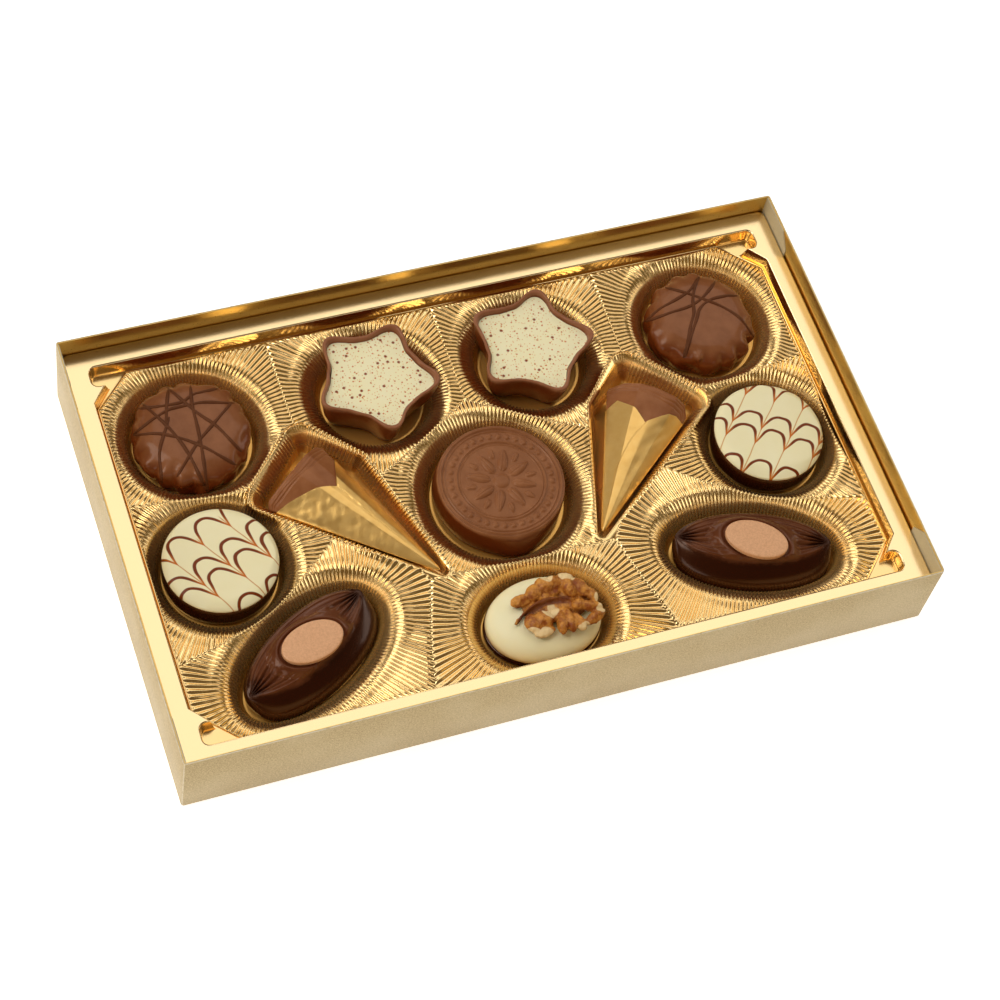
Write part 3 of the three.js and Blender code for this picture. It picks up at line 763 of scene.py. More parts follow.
def ribbed_well(name, seed):
    """A well with its floor, its wall and its part of the field, all in one grid."""
    well = WELLS[name]
    random = np.random.default_rng(seed)
    ribs = rib_count(well)
    count = ribs * SAMPLES_PER_RIB
    t, _ = even_parameters(well, count)
    x, y, nx, ny = oval_points(well, t)
    border, kind = border_distance(name, x, y, nx, ny)
    to_neighbour, to_cone = kind == 0, kind == 1

    squeeze = np.minimum(1, border / CLOSE_BORDER)
    inner = INNER_STEPS[:, None] * squeeze
    shares = (np.arange(1, OUTER_STEPS + 1) / OUTER_STEPS)[:, None]
    outer = inner[-1] + (border - inner[-1]) * shares
    past = np.array([0.14, 0.3])[:, None] * np.where(to_cone, 2.6, 1.0)
    distance = np.concatenate([inner, outer, border + past])

    height = wall_height(np.minimum(distance, border), border)
    pull = soft_step(distance, border - 2.0, border) * to_cone
    height += pull * (BRIM_HEIGHT + 0.25 - wall_height(border, border))
    sink = np.array([0.1, 0.35])[:, None] * np.where(to_cone, 2.4, 1.0)
    height[-2:] -= sink * (to_neighbour | to_cone)

    slope = np.gradient(height, axis=0) / np.maximum(np.gradient(distance, axis=0), 1e-6)
    lean = 1 / np.sqrt(1 + slope ** 2)
    phase = np.arange(count) / SAMPLES_PER_RIB
    strength = random.uniform(0.82, 1.12, ribs)[(np.round(phase).astype(int)) % ribs]
    spacing = np.hypot(np.roll(x, -1) - x, np.roll(y, -1) - y)
    turning = np.hypot(np.roll(nx, -1) - nx, np.roll(ny, -1) - ny)
    pitch = SAMPLES_PER_RIB * (spacing + distance * turning)
    deep = np.minimum(RIB_DEPTH_SHARE * pitch, RIB_DEPTH_LIMIT)
    deep = deep * strength * np.cos(TAU * phase)
    deep *= soft_step(distance, 0.1, 0.9)
    deep *= np.where(to_cone, 1.0, soft_step(border - distance, 0.02, 0.3))
    deep += random.normal(0, 0.012, deep.shape) * soft_step(distance, 1.0, 2.5)
    px = x + nx * (distance - deep * slope * lean)
    py = y + ny * (distance - deep * slope * lean)
    pz = height + deep * lean
    rings = np.stack([px, py, pz], axis=-1)

    floor = [np.stack([well[0] + (px[0] - well[0]) * share, well[1] + (py[0] - well[1]) * share,
                       np.full(count, WELL_FLOOR + z)], axis=-1)
             for share, z in zip(FLOOR_SHARES, FLOOR_LIP)]
    return with_middle(np.concatenate([floor, rings]), [well[0], well[1], WELL_FLOOR])


def with_middle(rings, middle):
    """Rings that are open at the outside and closed by one point in the middle."""
    count = rings.shape[1]
    points = np.concatenate([rings.reshape(-1, 3), [middle]])
    faces = ring_faces(len(rings), count).tolist()
    faces += [[len(points) - 1, i, (i + 1) % count] for i in range(count)]
    return points, faces


CONE_WALL_SHARES = [0, 0.06, 0.14, 0.22, 0.3, 0.38, 0.46, 0.55, 0.64, 0.73, 0.82, 0.91, 1.0]
CONE_RIB_DEPTH = 0.25


def cone_well(circles_brim, circles_floor, smooth_left):
    """Lofts a cone well from its floor over its brim, with ribs on its walls. The walls are
    plain at the tip, and on the right well's left side."""
    samples = []
    for i, (x, y, r) in enumerate(circles_brim):
        x2, y2, _ = circles_brim[(i + 1) % len(circles_brim)]
        samples.append(int(math.hypot(x2 - x, y2 - y) / RIB_PITCH) * SAMPLES_PER_RIB)
    per_arc = [int(r * 2.0 / RIB_PITCH) * SAMPLES_PER_RIB + 4 for _, _, r in circles_brim]
    brim, _ = hull_outline(circles_brim, -0.25, per_arc, samples)
    ground, _ = hull_outline(circles_floor, 0.0, per_arc, samples)
    wide_y = max(y for _, y, _ in circles_floor)
    tip_y = min(y for _, y, _ in circles_floor)
    down = np.clip((wide_y - ground[:, 1]) / (wide_y - tip_y), 0, 1)
    low = WELL_FLOOR + (TIP_FLOOR - WELL_FLOOR) * down
    ribs = np.cos(TAU * np.arange(len(brim)) / SAMPLES_PER_RIB)
    amount = soft_step(brim[:, 1], -21, -12)
    if smooth_left:
        tip_x = min(circles_brim, key=lambda circle: circle[1])[0]
        across = (brim[:, 0] - tip_x) * 0.93 - (brim[:, 1] - tip_y) * 0.36
        amount = amount * soft_step(across, 1.0, 4.0)
    rings = []
    for share in CONE_WALL_SHARES:
        rise = (1 - math.exp(-1.8 * share)) / (1 - math.exp(-1.8))
        deep = CONE_RIB_DEPTH * ribs * amount * soft_step(share, 0.03, 0.12)
        ledge = (1 - amount) * 0.28 * math.exp(-((share - 0.68) / 0.07) ** 2)
        flat = ground + (brim - ground) * share
        outward = (brim - ground) / np.maximum(
            np.linalg.norm(brim - ground, axis=1), 1e-6)[:, None]
        flat = flat - outward * (deep * 0.7)[:, None]
        z = low + (BRIM_HEIGHT + 0.1 - low) * rise + deep * 0.7 + ledge
        rings.append(np.column_stack([flat, z]))
    collar, _ = hull_outline(circles_brim, 1.0, per_arc, samples)
    tip = soft_step(-brim[:, 1], 14, 19)[:, None]
    for share, drop in ((0.35, 0.05), (1.0, 0.35), (2.6, 1.2)):
        flat = brim + (collar - brim) * (0.15 + share * tip)
        rings.append(np.column_stack([flat, BRIM_HEIGHT + 0.05 - drop - 1.2 * (1 - tip[:, 0])]))
    middle = ground.mean(axis=0)
    inner = [np.column_stack([middle + (ground - middle) * s, low]) for s in (0.3, 0.7)]
    rings = np.array(inner + rings)
    return with_middle(rings, rings[0].mean(axis=0))


print("the medallion's well has", rib_count(WELLS["medallion"]), "ribs")

# %% [markdown]
# ## The finish of the insert
# Vacuum-coated plastic is a smooth metal: a strong mirror with a slight haze. Small dents
# and dust make single ribs sparkle, so the roughness drifts and a fine bump breaks it up.
# The flat rim is painted a paler gold, a painted highlight of the bright panel it mirrors.
# Deep in the wells the gold is painted a deeper amber and is less of a mirror. That is
# painted bounce light, standing in for gold walls that reflect each other.

# %% Gold of the insert
def insert_finish():
    finish = Finish("gold_sheet", Metallic=1.0)
    drift = finish.noise(9.0, detail=2.0)
    speck = finish.noise(0.5, detail=1.0)
    color = finish.mix(drift, linear((242, 205, 138)), linear((250, 217, 155)))
    # Deep in the wells: a deeper amber, painted bounce light between the gold walls
    deep_painted_bounce = 1 - finish.step(finish.z, 8.5, 15.0)
    color = finish.mix(deep_painted_bounce, color, linear((240, 184, 94)))
    # The rim and the top of the step: a paler gold, a painted highlight of the panel above
    color = finish.mix(finish.step(finish.z, 17.6, 18.8), color, linear((251, 224, 172)))
    return finish.wear(color=color, roughness=0.15 + drift * 0.07 + deep_painted_bounce * 0.12,
                       metallic=1 - deep_painted_bounce * 0.4, bumps=[(drift, 0.03), (speck, 0.004)])


gold_sheet = insert_finish()
sheet_parts = {
    "insert_wells_back": [ribbed_well(name, 11 + i) for i, name in enumerate(BACK_WELLS)],
    "insert_wells_front": [ribbed_well(name, 31 + i) for i, name in enumerate(FRONT_WELLS)],
    "insert_cone_wells": [cone_well(CONE_BRIM, CONE_FLOOR, False),
                          cone_well(mirrored(CONE_BRIM), mirrored(CONE_FLOOR), True)],
}
for name, parts in sheet_parts.items():
    place_piece(name, joined(*parts), gold_sheet, sharp_angle=None,
                turn_out=False)

# %% [markdown]
# ## The rim of the insert
# The flat rim lies 4 mm above the field. Its inner edge has a cut and a short slot in each
# corner. A plate with one hole could be made by a boolean, but filling between two outlines
# gives cleaner faces, and the step and the bead are rings that follow the same outline.

# %% Rim outlines
def rim_outline(inset):
    """The inner edge of the rim, moved inwards."""
    cut_x, cut_y = CUT_END_X - RIM_X, SLOT_EDGE_Y - CUT_START_Y
    cut = math.hypot(cut_x, cut_y)
    start_x, start_y = RIM_X - inset * cut_y / cut, CUT_START_Y + inset * cut_x / cut
    first = (RIM_X - inset, start_y + (RIM_X - inset - start_x) * cut_y / cut_x)
    slot_y = SLOT_EDGE_Y + inset
    second = (start_x + (slot_y - start_y) * cut_x / cut_y, slot_y)
    quarter = [first, second]
    radius = SLOT_RADIUS - inset
    for centre_y, start in ((SLOT_EDGE_Y + SLOT_RADIUS, -90), (RIM_Y - SLOT_RADIUS, 0)):
        for extra in range(0, 91, 15):
            angle = math.radians(start + extra)
            quarter.append((SLOT_END_X - SLOT_RADIUS + radius * math.cos(angle),
                            centre_y + radius * math.sin(angle)))
    return four_quarters(quarter)


def four_quarters(quarter):
    """Mirrors a quarter outline to all four corners, round to the left."""
    q = np.array(quarter)
    return np.concatenate([q, (q * (-1, 1))[::-1], q * (-1, -1), (q * (1, -1))[::-1]])


def field_outline(grow):
    half_x, half_y = FIELD_X + grow, FIELD_Y + grow
    cut = FIELD_CUT + grow * (2 - math.sqrt(2))
    return four_quarters([(half_x, half_y - cut), (half_x - cut, half_y)])


def plate_between(outer, inner, z):
    """Fills the flat face between an outline and a hole in it."""
    loops = [[Vector((*p, 0)) for p in outer], [Vector((*p, 0)) for p in inner]]
    faces = [list(face) for face in tessellate_polygon(loops)]
    return np.concatenate([at_height(outer, z), at_height(inner, z)]), faces


print("the rim's inner edge has", len(rim_outline(0.0)), "points")

# %% [markdown]
# ## The rim, its slots and the bead
# The rim is flat, with a slot at each end of its long inner sides. A step leads down from
# it to the field, and a fine raised bead frames the ribs. Each is a strip between copies
# of one outline, moved inwards and down.

# %% Build the rim
def rings_between(outlines_and_heights):
    rings = np.array([at_height(outline, z) for outline, z in outlines_and_heights])
    return rings.reshape(-1, 3), ring_faces(len(rings), rings.shape[1]).tolist()


outer_edge = rounded_rectangle(OUTER_X - 0.4, OUTER_Y - 0.4, 1.8)
rim_plate = plate_between(outer_edge, rim_outline(-0.4), SHEET_TOP)
outer_wall = rounded_rectangle(OUTER_X, OUTER_Y, 2.0)
skirt = rings_between([
    (outer_edge, SHEET_TOP),
    (rounded_rectangle(OUTER_X - 0.12, OUTER_Y - 0.12, 1.95), SHEET_TOP - 0.1),
    (outer_wall, SHEET_TOP - 0.4), (outer_wall, FOOT),
])
# The step, as insets of the inner edge and heights from the rim down to the field
STEP = [(-0.4, SHEET_TOP), (-0.2, SHEET_TOP - 0.05), (-0.05, SHEET_TOP - 0.18),
        (0.02, SHEET_TOP - 0.4), (0.25, SHEET_TOP - 1.8), (0.45, FIELD + 0.8),
        (0.55, FIELD + 0.3), (STEP_LEAN, FIELD)]
step_wall = rings_between([(rim_outline(inset), z) for inset, z in STEP])
slot_floor = plate_between(rim_outline(STEP_LEAN - 0.02), field_outline(BEAD - 0.02), FIELD)
# The bead, as distances out from the ribs and heights above the field
BEAD_ROUND = [(BEAD, 0), (0.52, 0.3), (0.4, 0.5), (0.24, 0.52), (0.08, 0.3), (0.0, -0.1),
              (-0.02, -1.4)]
bead = rings_between([(field_outline(grow), FIELD + rise) for grow, rise in BEAD_ROUND])
rim = joined(rim_plate, skirt, step_wall, slot_floor, bead)
place_piece("insert_rim", rim, gold_sheet, replaces=["insert_tray"], sharp_angle=40)

# %% [markdown]
# ## Chocolate finishes
# Milk chocolate is a warm brown with a dull bloom on flat tops, and its sides shine. The
# sides are painted a darker brown: painted shade, and a painted reflection of the dark wells.
# Dark chocolate is nearly black-brown. One function makes them all, with the colours of the
# top, the painted shade of the sides and the heights between which they change.

# %% Chocolate
def chocolate_finish(name, side, dark, light, rise=(0, 1), gloss=0.34, coat=0.15,
                     tint=(255, 208, 165)):
    """Painted shade on the sides, turning to the top colours between two heights."""
    finish = Finish(name, Specular_IOR_Level=0.32, Coat_Roughness=0.14,
                    Specular_Tint=linear(tint))
    cloud = finish.noise(5.0, detail=3.0, roughness=0.6)
    grain = finish.noise(0.45, detail=2.0)
    pit = finish.step(finish.cells(1.1, 3.0), 0.02, 0.12)
    # Below the rise the sides take the side colour, which is painted shade
    top = finish.step(finish.z + cloud * 0.8, rise[0] + 0.4, rise[1] + 0.4)
    color = finish.mix(finish.step(cloud, 0.25, 0.75), linear(dark), linear(light))
    color = finish.mix(top, linear(side), color)
    roughness = gloss - 0.06 + top * 0.08 + cloud * 0.14
    return finish.wear(color=color, roughness=roughness, coat=coat,
                       bumps=[(cloud, 0.09), (grain, 0.008), (pit, 0.015)])


# The first colour of each chocolate is the painted shade of its sides
milk = chocolate_finish("milk_chocolate", (112, 52, 18), (136, 80, 44), (157, 100, 62),
                        rise=(11.0, 15.0), gloss=0.3, coat=0.16)
milk_truffle = chocolate_finish("milk_chocolate_truffle", (108, 48, 15), (124, 72, 40),
                                (142, 88, 54), rise=(14.6, 17.0), gloss=0.28, coat=0.24)
milk_star = chocolate_finish("milk_chocolate_star", (104, 46, 16), (140, 86, 56),
                             (156, 102, 72), rise=(18.2, 19.8), gloss=0.3, coat=0.16)
milk_coin = chocolate_finish("milk_chocolate_medallion", (96, 40, 10), (134, 82, 48),
                             (154, 100, 64), rise=(15.8, 17.0), gloss=0.32, coat=0.12)
dark = chocolate_finish("dark_chocolate", (44, 12, 2), (84, 40, 18), (102, 56, 32),
                        rise=(14.3, 15.0), gloss=0.24, coat=0.3, tint=(255, 180, 120))
drizzle = chocolate_finish("drizzle_chocolate", (84, 44, 22), (84, 44, 22), (98, 54, 30),
                           gloss=0.4, coat=0.02)
chocolates = (milk, milk_truffle, milk_star, milk_coin, dark, drizzle)
print("finishes:", ", ".join(chocolate.name for chocolate in chocolates))

# %% [markdown]
# ## The truffles
# A truffle is a lump of filling dipped in milk chocolate, so its sides run down in lobes
# and its top stays flat. Rings with lobes and scattered lumps give that. Thin strands of
# darker chocolate are thrown over it, each a fine tube that lies on the body.

# %% Truffle bodies
STAND = 7.8
TRUFFLES = {
    "left": {"x": -73.6, "y": 33.5, "seed": 5, "scallop": 0.09, "count": 15, "size": 1.0},
    "right": {"x": 72.2, "y": 34.0, "seed": 9, "scallop": 0.055, "count": 12, "size": 0.965},
}
TRUFFLE_HEIGHTS = [7.8, 8.4, 10.5, 13.0, 14.6, 16.2, 17.2, 17.6, 17.8]
TRUFFLE_RADII = [14.0, 15.0, 15.3, 15.4, 15.0, 13.6, 11.4, 6.0, 0.5]

# Drips on the front of each truffle: turn in degrees, height, size and how far they stand out
DRIPS = {
    "left": [(207, 14.0, 1.9, 1.4), (226, 14.6, 2.1, 1.8), (216, 11.0, 1.9, 1.2),
             (244, 15.2, 1.7, 1.3), (240, 12.0, 2.2, 1.3), (262, 15.4, 2.0, 1.3),
             (264, 10.4, 2.0, 0.9), (284, 12.6, 2.0, 1.0), (300, 14.4, 1.8, 0.8),
             (192, 12.4, 1.9, 0.9), (318, 12.0, 1.9, 0.8), (336, 13.6, 1.6, 0.7)],
    "right": [(246, 15.6, 1.1, 1.5), (206, 13.6, 1.8, 1.0), (224, 11.5, 2.0, 1.0),
              (262, 12.6, 2.2, 0.9), (285, 11.4, 2.0, 0.9), (186, 14.2, 1.6, 0.9),
              (308, 13.0, 2.0, 0.8), (128, 15.2, 1.2, 1.0), (330, 12.0, 1.8, 0.8)],
}


def truffle_body(side):
    """Rings with scalloped sides, then ripples and drips that push the surface outwards."""
    truffle = TRUFFLES[side]
    count, levels = 260, 90
    angle = full_turn(count)
    keys = np.concatenate([[0], np.cumsum(np.hypot(np.diff(TRUFFLE_HEIGHTS),
                                                   np.diff(TRUFFLE_RADII)))])
    share = np.linspace(0, 1, levels) * keys[-1]
    height = smooth_curve(keys, TRUFFLE_HEIGHTS, share)
    radius = smooth_curve(keys, TRUFFLE_RADII, share) * truffle["size"]
    edge = truffle["count"] * angle + 1.5 * np.sin(2 * angle + truffle["seed"])
    edge += 0.8 * np.sin(5 * angle + 2 * truffle["seed"])
    amount = 0.65 + 0.35 * np.sin(3 * angle + truffle["seed"]) * np.cos(angle)
    scallops = truffle["scallop"] * amount * (np.abs(np.sin(edge / 2)) - 0.6)
    scallops += 0.018 * np.cos(3 * angle + truffle["seed"])
    rings = []
    for z, r in zip(height, radius):
        side_share = soft_step(17.5 - z, 0.0, 2.5)
        reach = r * (1 + scallops * side_share)
        rings.append(round_ring(truffle["x"], truffle["y"], reach, angle, z))
    rings = np.array(rings)
    flat = rings.reshape(-1, 3)
    middle = np.array([truffle["x"], truffle["y"], 9.0])
    outward = flat - middle
    outward /= np.linalg.norm(outward, axis=1)[:, None]
    side_share = soft_step(17.4 - flat[:, 2], 0.0, 2.0)
    push = 0.14 * ripples(flat, 4.5, truffle["seed"])
    push += side_share * 0.28 * ripples(flat, 2.6, truffle["seed"] + 1)
    for turn, z, size, proud in DRIPS[side]:
        reach = np.interp(z, TRUFFLE_HEIGHTS, TRUFFLE_RADII) * truffle["size"] - 0.4
        drip = np.array([truffle["x"] + reach * math.cos(math.radians(turn)),
                         truffle["y"] + reach * math.sin(math.radians(turn)), z])
        away = (flat - drip) / (size, size, size * 1.25)
        push += proud * np.exp(-(np.linalg.norm(away, axis=1)) ** 2)
    push *= soft_step(flat[:, 2], STAND, STAND + 1.5)
    flat = flat + outward * push[:, None]
    flat[:, 2] = np.clip(flat[:, 2], STAND, 18.4)
    return closed_stack(flat.reshape(rings.shape))


print("a truffle is", round(TRUFFLE_HEIGHTS[-1] - STAND, 1), "mm high")

# %% [markdown]
# ## Drizzle on the truffles
# The strands are laid out as they look from the camera, since the photograph shows them
# so. Each point is dropped along the line of sight onto the truffle, and a soft flat tube
# follows the points over the edge.

# %% Drizzle strands
def surface_tree(shape):
    points, faces = shape
    return BVHTree.FromPolygons([tuple(p) for p in points], [list(f) for f in faces])


SIGHT_HEIGHT = 19.0
STRAND_RUN_OUT = 2.5
STRAND_HALF_WIDTH = 0.44
STRAND_HALF_HEIGHT = 0.26
STRAND_LIFT = 0.02
STRAND_STEP = 0.3
# Points where the line of sight only grazes the body are left out
GRAZING = 0.3
CAMERA_MM = CAMERA_PLACE * 1000


def strand_over(tree, knots):
    """A flattened strand whose knots are given level with the rim, as seen from above the
    box. Each point is dropped along the line of sight onto the praline."""
    knots = np.array(knots, float)
    first, last = knots[0] - knots[1], knots[-1] - knots[-2]
    knots = np.concatenate([[knots[0] + first / np.linalg.norm(first) * STRAND_RUN_OUT], knots,
                            [knots[-1] + last / np.linalg.norm(last) * STRAND_RUN_OUT]])
    lengths = np.hypot(*np.diff(knots, axis=0).T)
    marks = np.concatenate([[0], np.cumsum(lengths)])
    at = np.linspace(0, marks[-1], int(marks[-1] / STRAND_STEP))
    flat = np.column_stack([smooth_curve(marks, knots[:, k], at) for k in (0, 1)])
    hits = []
    for x, y in flat:
        target = Vector((x, y, SIGHT_HEIGHT))
        sight = (target - CAMERA_MM).normalized()
        hit, normal, _, _ = tree.ray_cast(CAMERA_MM, sight)
        if hit and abs(normal.dot(sight)) > GRAZING:
            hits.append(np.concatenate([hit, normal if normal.z > 0 else -normal]))
    hits = np.array(hits)
    spread = np.array([0.1, 0.2, 0.4, 0.2, 0.1])
    for column in range(6):
        hits[2:-2, column] = np.convolve(hits[:, column], spread, "valid")
    path, up = hits[:, :3], hits[:, 3:]
    up /= np.linalg.norm(up, axis=1)[:, None]
    across = np.cross(np.gradient(path, axis=0), up)
    across /= np.maximum(np.linalg.norm(across, axis=1), 1e-6)[:, None]
    ends = np.minimum(np.arange(len(path)), np.arange(len(path))[::-1])
    size = np.sqrt(np.clip((ends + 0.5) / 5, 0, 1))
    size *= 1 + 0.14 * np.sin(np.arange(len(path)) / 5 + knots[0, 0])
    turns = full_turn(10)
    sideways = np.cos(turns)[:, None] * STRAND_HALF_WIDTH
    upwards = np.sin(turns)[:, None] * STRAND_HALF_HEIGHT + STRAND_LIFT
    return closed_stack([point + wide * (sideways * side + upwards * out)
                         for point, wide, side, out in zip(path, size, across, up)])


# Knots of each strand in millimetres
STRANDS = {
    "left": [
        [(-89, 33.5), (-83, 32.5), (-79, 30.5), (-73, 26), (-67.5, 20)],
        [(-84, 41.5), (-80, 34), (-77.5, 27), (-76, 18), (-75.5, 12.5)],
        [(-85, 41), (-80, 40.4), (-75, 40.2), (-70, 42), (-65.5, 42)],
        [(-77, 44.3), (-78.6, 40), (-79.5, 37)],
        [(-76, 44), (-74, 40.5), (-71, 35.5), (-68, 31.5), (-64.5, 24)],
        [(-71, 44.3), (-72, 39), (-72.5, 32), (-73, 27), (-74, 20), (-75, 14)],
        [(-87, 35), (-82, 37.5), (-77, 39), (-71, 39), (-62, 36.8)],
        [(-63, 36), (-68, 32), (-74, 27), (-80, 20.5)],
        [(-80, 34.5), (-84, 27), (-85.5, 20)],
    ],
    "right": [
        [(64.5, 43.5), (69, 40.8), (74, 37), (78, 33.5), (81.5, 28.5), (82.5, 24)],
        [(75, 44.6), (73, 42), (70.5, 37.5), (69.5, 34), (67, 30), (64.5, 25.5), (62.5, 22.5)],
        [(74.5, 44), (71, 41), (66, 39), (60, 37), (57, 35.4)],
        [(79.5, 42.5), (76, 39.5), (73, 37.5), (69, 36), (63, 35.3), (57.5, 34.5)],
        [(83.5, 36), (80, 36.8), (75, 36.5), (72, 35), (69, 31), (65, 25.5), (63, 22.5)],
    ],
}

for side, truffle in TRUFFLES.items():
    body = truffle_body(side)
    place_piece(f"truffle_{side}_body", body, milk_truffle,
                replaces=[f"truffle_{side}"], sharp_angle=None)
    tree = surface_tree(body)
    strands = joined(*[strand_over(tree, knots) for knots in STRANDS[side]])
    place_piece(f"truffle_{side}_drizzle", strands, drizzle, sharp_angle=80)

# %% [markdown]
# ## The stars
# A star is a thin moulded shell of milk chocolate with a wavy rim, filled with pale cream
# that stops a little below the rim. The outline is a circle with a five-fold wave.

# %% Star shells and cream
STARS = {
    "left": {"x": -22.6, "y": 35.2, "turn": 270, "seed": 3},
    "right": {"x": 22.0, "y": 35.2, "turn": 282, "seed": 8},
}
STAR_RADIUS = 14.7
STAR_RIM = 20.1
CREAM_TOP = 18.5
# The outside of a shell: height above the stand and share of the outline
STAR_SIDE = [(0, 0.75), (0.35, 0.79), (1.2, 0.825), (3, 0.87), (5, 0.915), (7.5, 0.95),
             (9.5, 0.975), (STAR_RIM - 1.6 - STAND, 0.988), (STAR_RIM - 0.5 - STAND, 0.997)]
# Its rounded lip and the inside below it: inset from the outline and drop from the rim
STAR_LIP = [(0.06, 0.15), (0.25, 0.02), (0.5, 0.0), (0.8, 0.06), (1.0, 0.25), (1.15, 0.7),
            (1.35, 1.6), (1.6, 3.0)]


def star_outline(star, inset, angle):
    around = 5 * (angle - math.radians(star["turn"]))
    wobble = 0.012 * np.sin(3 * angle + star["seed"]) + 0.01 * np.sin(7 * angle)
    wave = 0.145 * np.cos(around) + 0.03 * np.cos(2 * around)
    return (STAR_RADIUS - inset) * (1 + wave + wobble)


def star_ring(star, inset, size, z, angle):
    reach = star_outline(star, inset, angle) * size
    return round_ring(star["x"], star["y"], reach, angle, z)


def star_shell(star):
    angle = full_turn(300)
    around = 5 * (angle - math.radians(star["turn"]))
    wave = 0.3 * np.cos(around) + 0.12 * np.sin(3 * angle + star["seed"]) - 0.12
    rings = []
    for up, size in STAR_SIDE:
        rise = soft_step(STAND + up, STAND + 6, STAR_RIM)
        rings.append(star_ring(star, 0, size, STAND + up + wave * rise, angle))
    for inset, drop in STAR_LIP:
        rings.append(star_ring(star, inset, 1.0, STAR_RIM - drop + wave, angle))
    rings.append(star_ring(star, 3.0, 0.9, STAND + 3.0, angle))
    rings = np.array(rings)
    flat = rings.reshape(-1, 3)
    outward = flat - np.array([star["x"], star["y"], 0])
    outward[:, 2] = 0
    outward /= np.maximum(np.linalg.norm(outward, axis=1), 1e-6)[:, None]
    push = 0.09 * ripples(flat, 2.6, star["seed"]) + 0.04 * ripples(flat, 1.1, 40)
    flat = flat + outward * push[:, None]
    return closed_stack(flat.reshape(rings.shape))


def star_cream(star):
    """The filling: a plug whose top sags a little towards the rim."""
    angle = full_turn(300)
    rings = [star_ring(star, 1.7, 0.96, STAND + 4.0, angle),
             star_ring(star, 1.42, 1.0, CREAM_TOP - 1.0, angle)]
    for inset, size, z in [(1.38, 1.0, 0.02), (1.5, 0.99, -0.1), (1.5, 0.95, -0.16),
                           (1.5, 0.85, -0.12), (1.5, 0.6, -0.05), (1.5, 0.3, 0.0)]:
        ring = star_ring(star, inset, size, CREAM_TOP + z, angle)
        ring[:, 2] += 0.03 * ripples(ring, 4.0, star["seed"])
        rings.append(ring)
    return closed_stack(rings)


star_reach = star_outline(STARS["left"], 0, full_turn(300))
print("the left star reaches", round(star_reach.min(), 1), "to", round(star_reach.max(), 1), "mm")

# %% [markdown]
# ## Specks in the cream
# Crushed bits of roasted nut show as specks of three sizes. A cell pattern places them:
# some cells carry a dot, the others none, so the specks scatter without a grid.

# %% Cream finish
# The subsurface radius of cream and white chocolate for red, green and blue
MILKY = (0.002, 0.0015, 0.001)


def cream_finish():
    """Pale cream with big dark specks and smaller orange ones."""
    finish = Finish("speckled_cream", Subsurface_Weight=0.08, Subsurface_Radius=MILKY,
                    Specular_IOR_Level=0.2)
    cloud = finish.noise(6.0, detail=3.0)
    grain = finish.noise(0.5, detail=2.0)
    base = finish.mix(cloud, linear((252, 242, 192)), linear((255, 248, 212)))

    def specks(size, radius, share, seed):
        """Round specks in some of the cells: near a cell's point, where its colour is high."""
        near = finish.cells(size, seed)
        cell = finish.cells(size, seed, output="Color")
        pick = finish.node("ShaderNodeSeparateColor", {}, {0: cell}, 0)
        edge = radius / size
        dot = 1 - finish.step(near, edge * 0.6, edge * 1.3)
        return dot * (pick > 1 - share)

    big = specks(3.3, 0.42, 0.4, 1.0)
    small = specks(1.6, 0.24, 0.5, 7.0)
    tiny = specks(0.85, 0.15, 0.5, 4.0)
    color = finish.mix(tiny * 0.8, base, linear((228, 164, 62)))
    color = finish.mix(small * 0.95, color, linear((204, 112, 22)))
    color = finish.mix(big * 0.97, color, linear((138, 54, 6)))
    return finish.wear(color=color, roughness=0.38 + cloud * 0.14,
                       bumps=[(cloud, 0.05), (grain, 0.012)])


cream = cream_finish()
for side, star in STARS.items():
    place_piece(f"star_{side}_shell", star_shell(star), milk_star,
                replaces=[f"star_shell_{side}"], sharp_angle=None)
    place_piece(f"star_{side}_cream", star_cream(star), cream,
                replaces=[f"star_cream_{side}"], sharp_angle=50)

# %% [markdown]
# ## The feathered discs
# Each disc has a dark base and a cap of white icing. Four dark lines are piped across the
# wet icing and then combed, which pulls them into rows of arches with fine drag lines.
# The pattern lies in the icing, so it is colour and not relief.

# %% Disc shapes
DISCS = {"left": (-76.9, -5.9, 4), "right": (76.9, -5.9, 6)}
DISC_TOP = 16.8
ICING = 1.9
ICING_LOW = DISC_TOP - ICING
BASE_TOP = ICING_LOW - 0.05
ICING_EDGE = 14.85


def disc_base(x, y, seed):
    rings = []
    for z, size in [(STAND, 14.2), (STAND + 0.3, 14.7), (STAND + 1, 15.0), (STAND + 2.5, 15.1),
                    (STAND + 5, 15.0), (BASE_TOP - 0.3, 14.95), (BASE_TOP, 14.7)]:
        ring = round_ring(x, y, size, full_turn(180), z)
        ring[:, :2] *= 1 + 0.0006 * ripples(ring, 3.0, seed)[:, None]
        rings.append(ring)
    return closed_stack(rings)


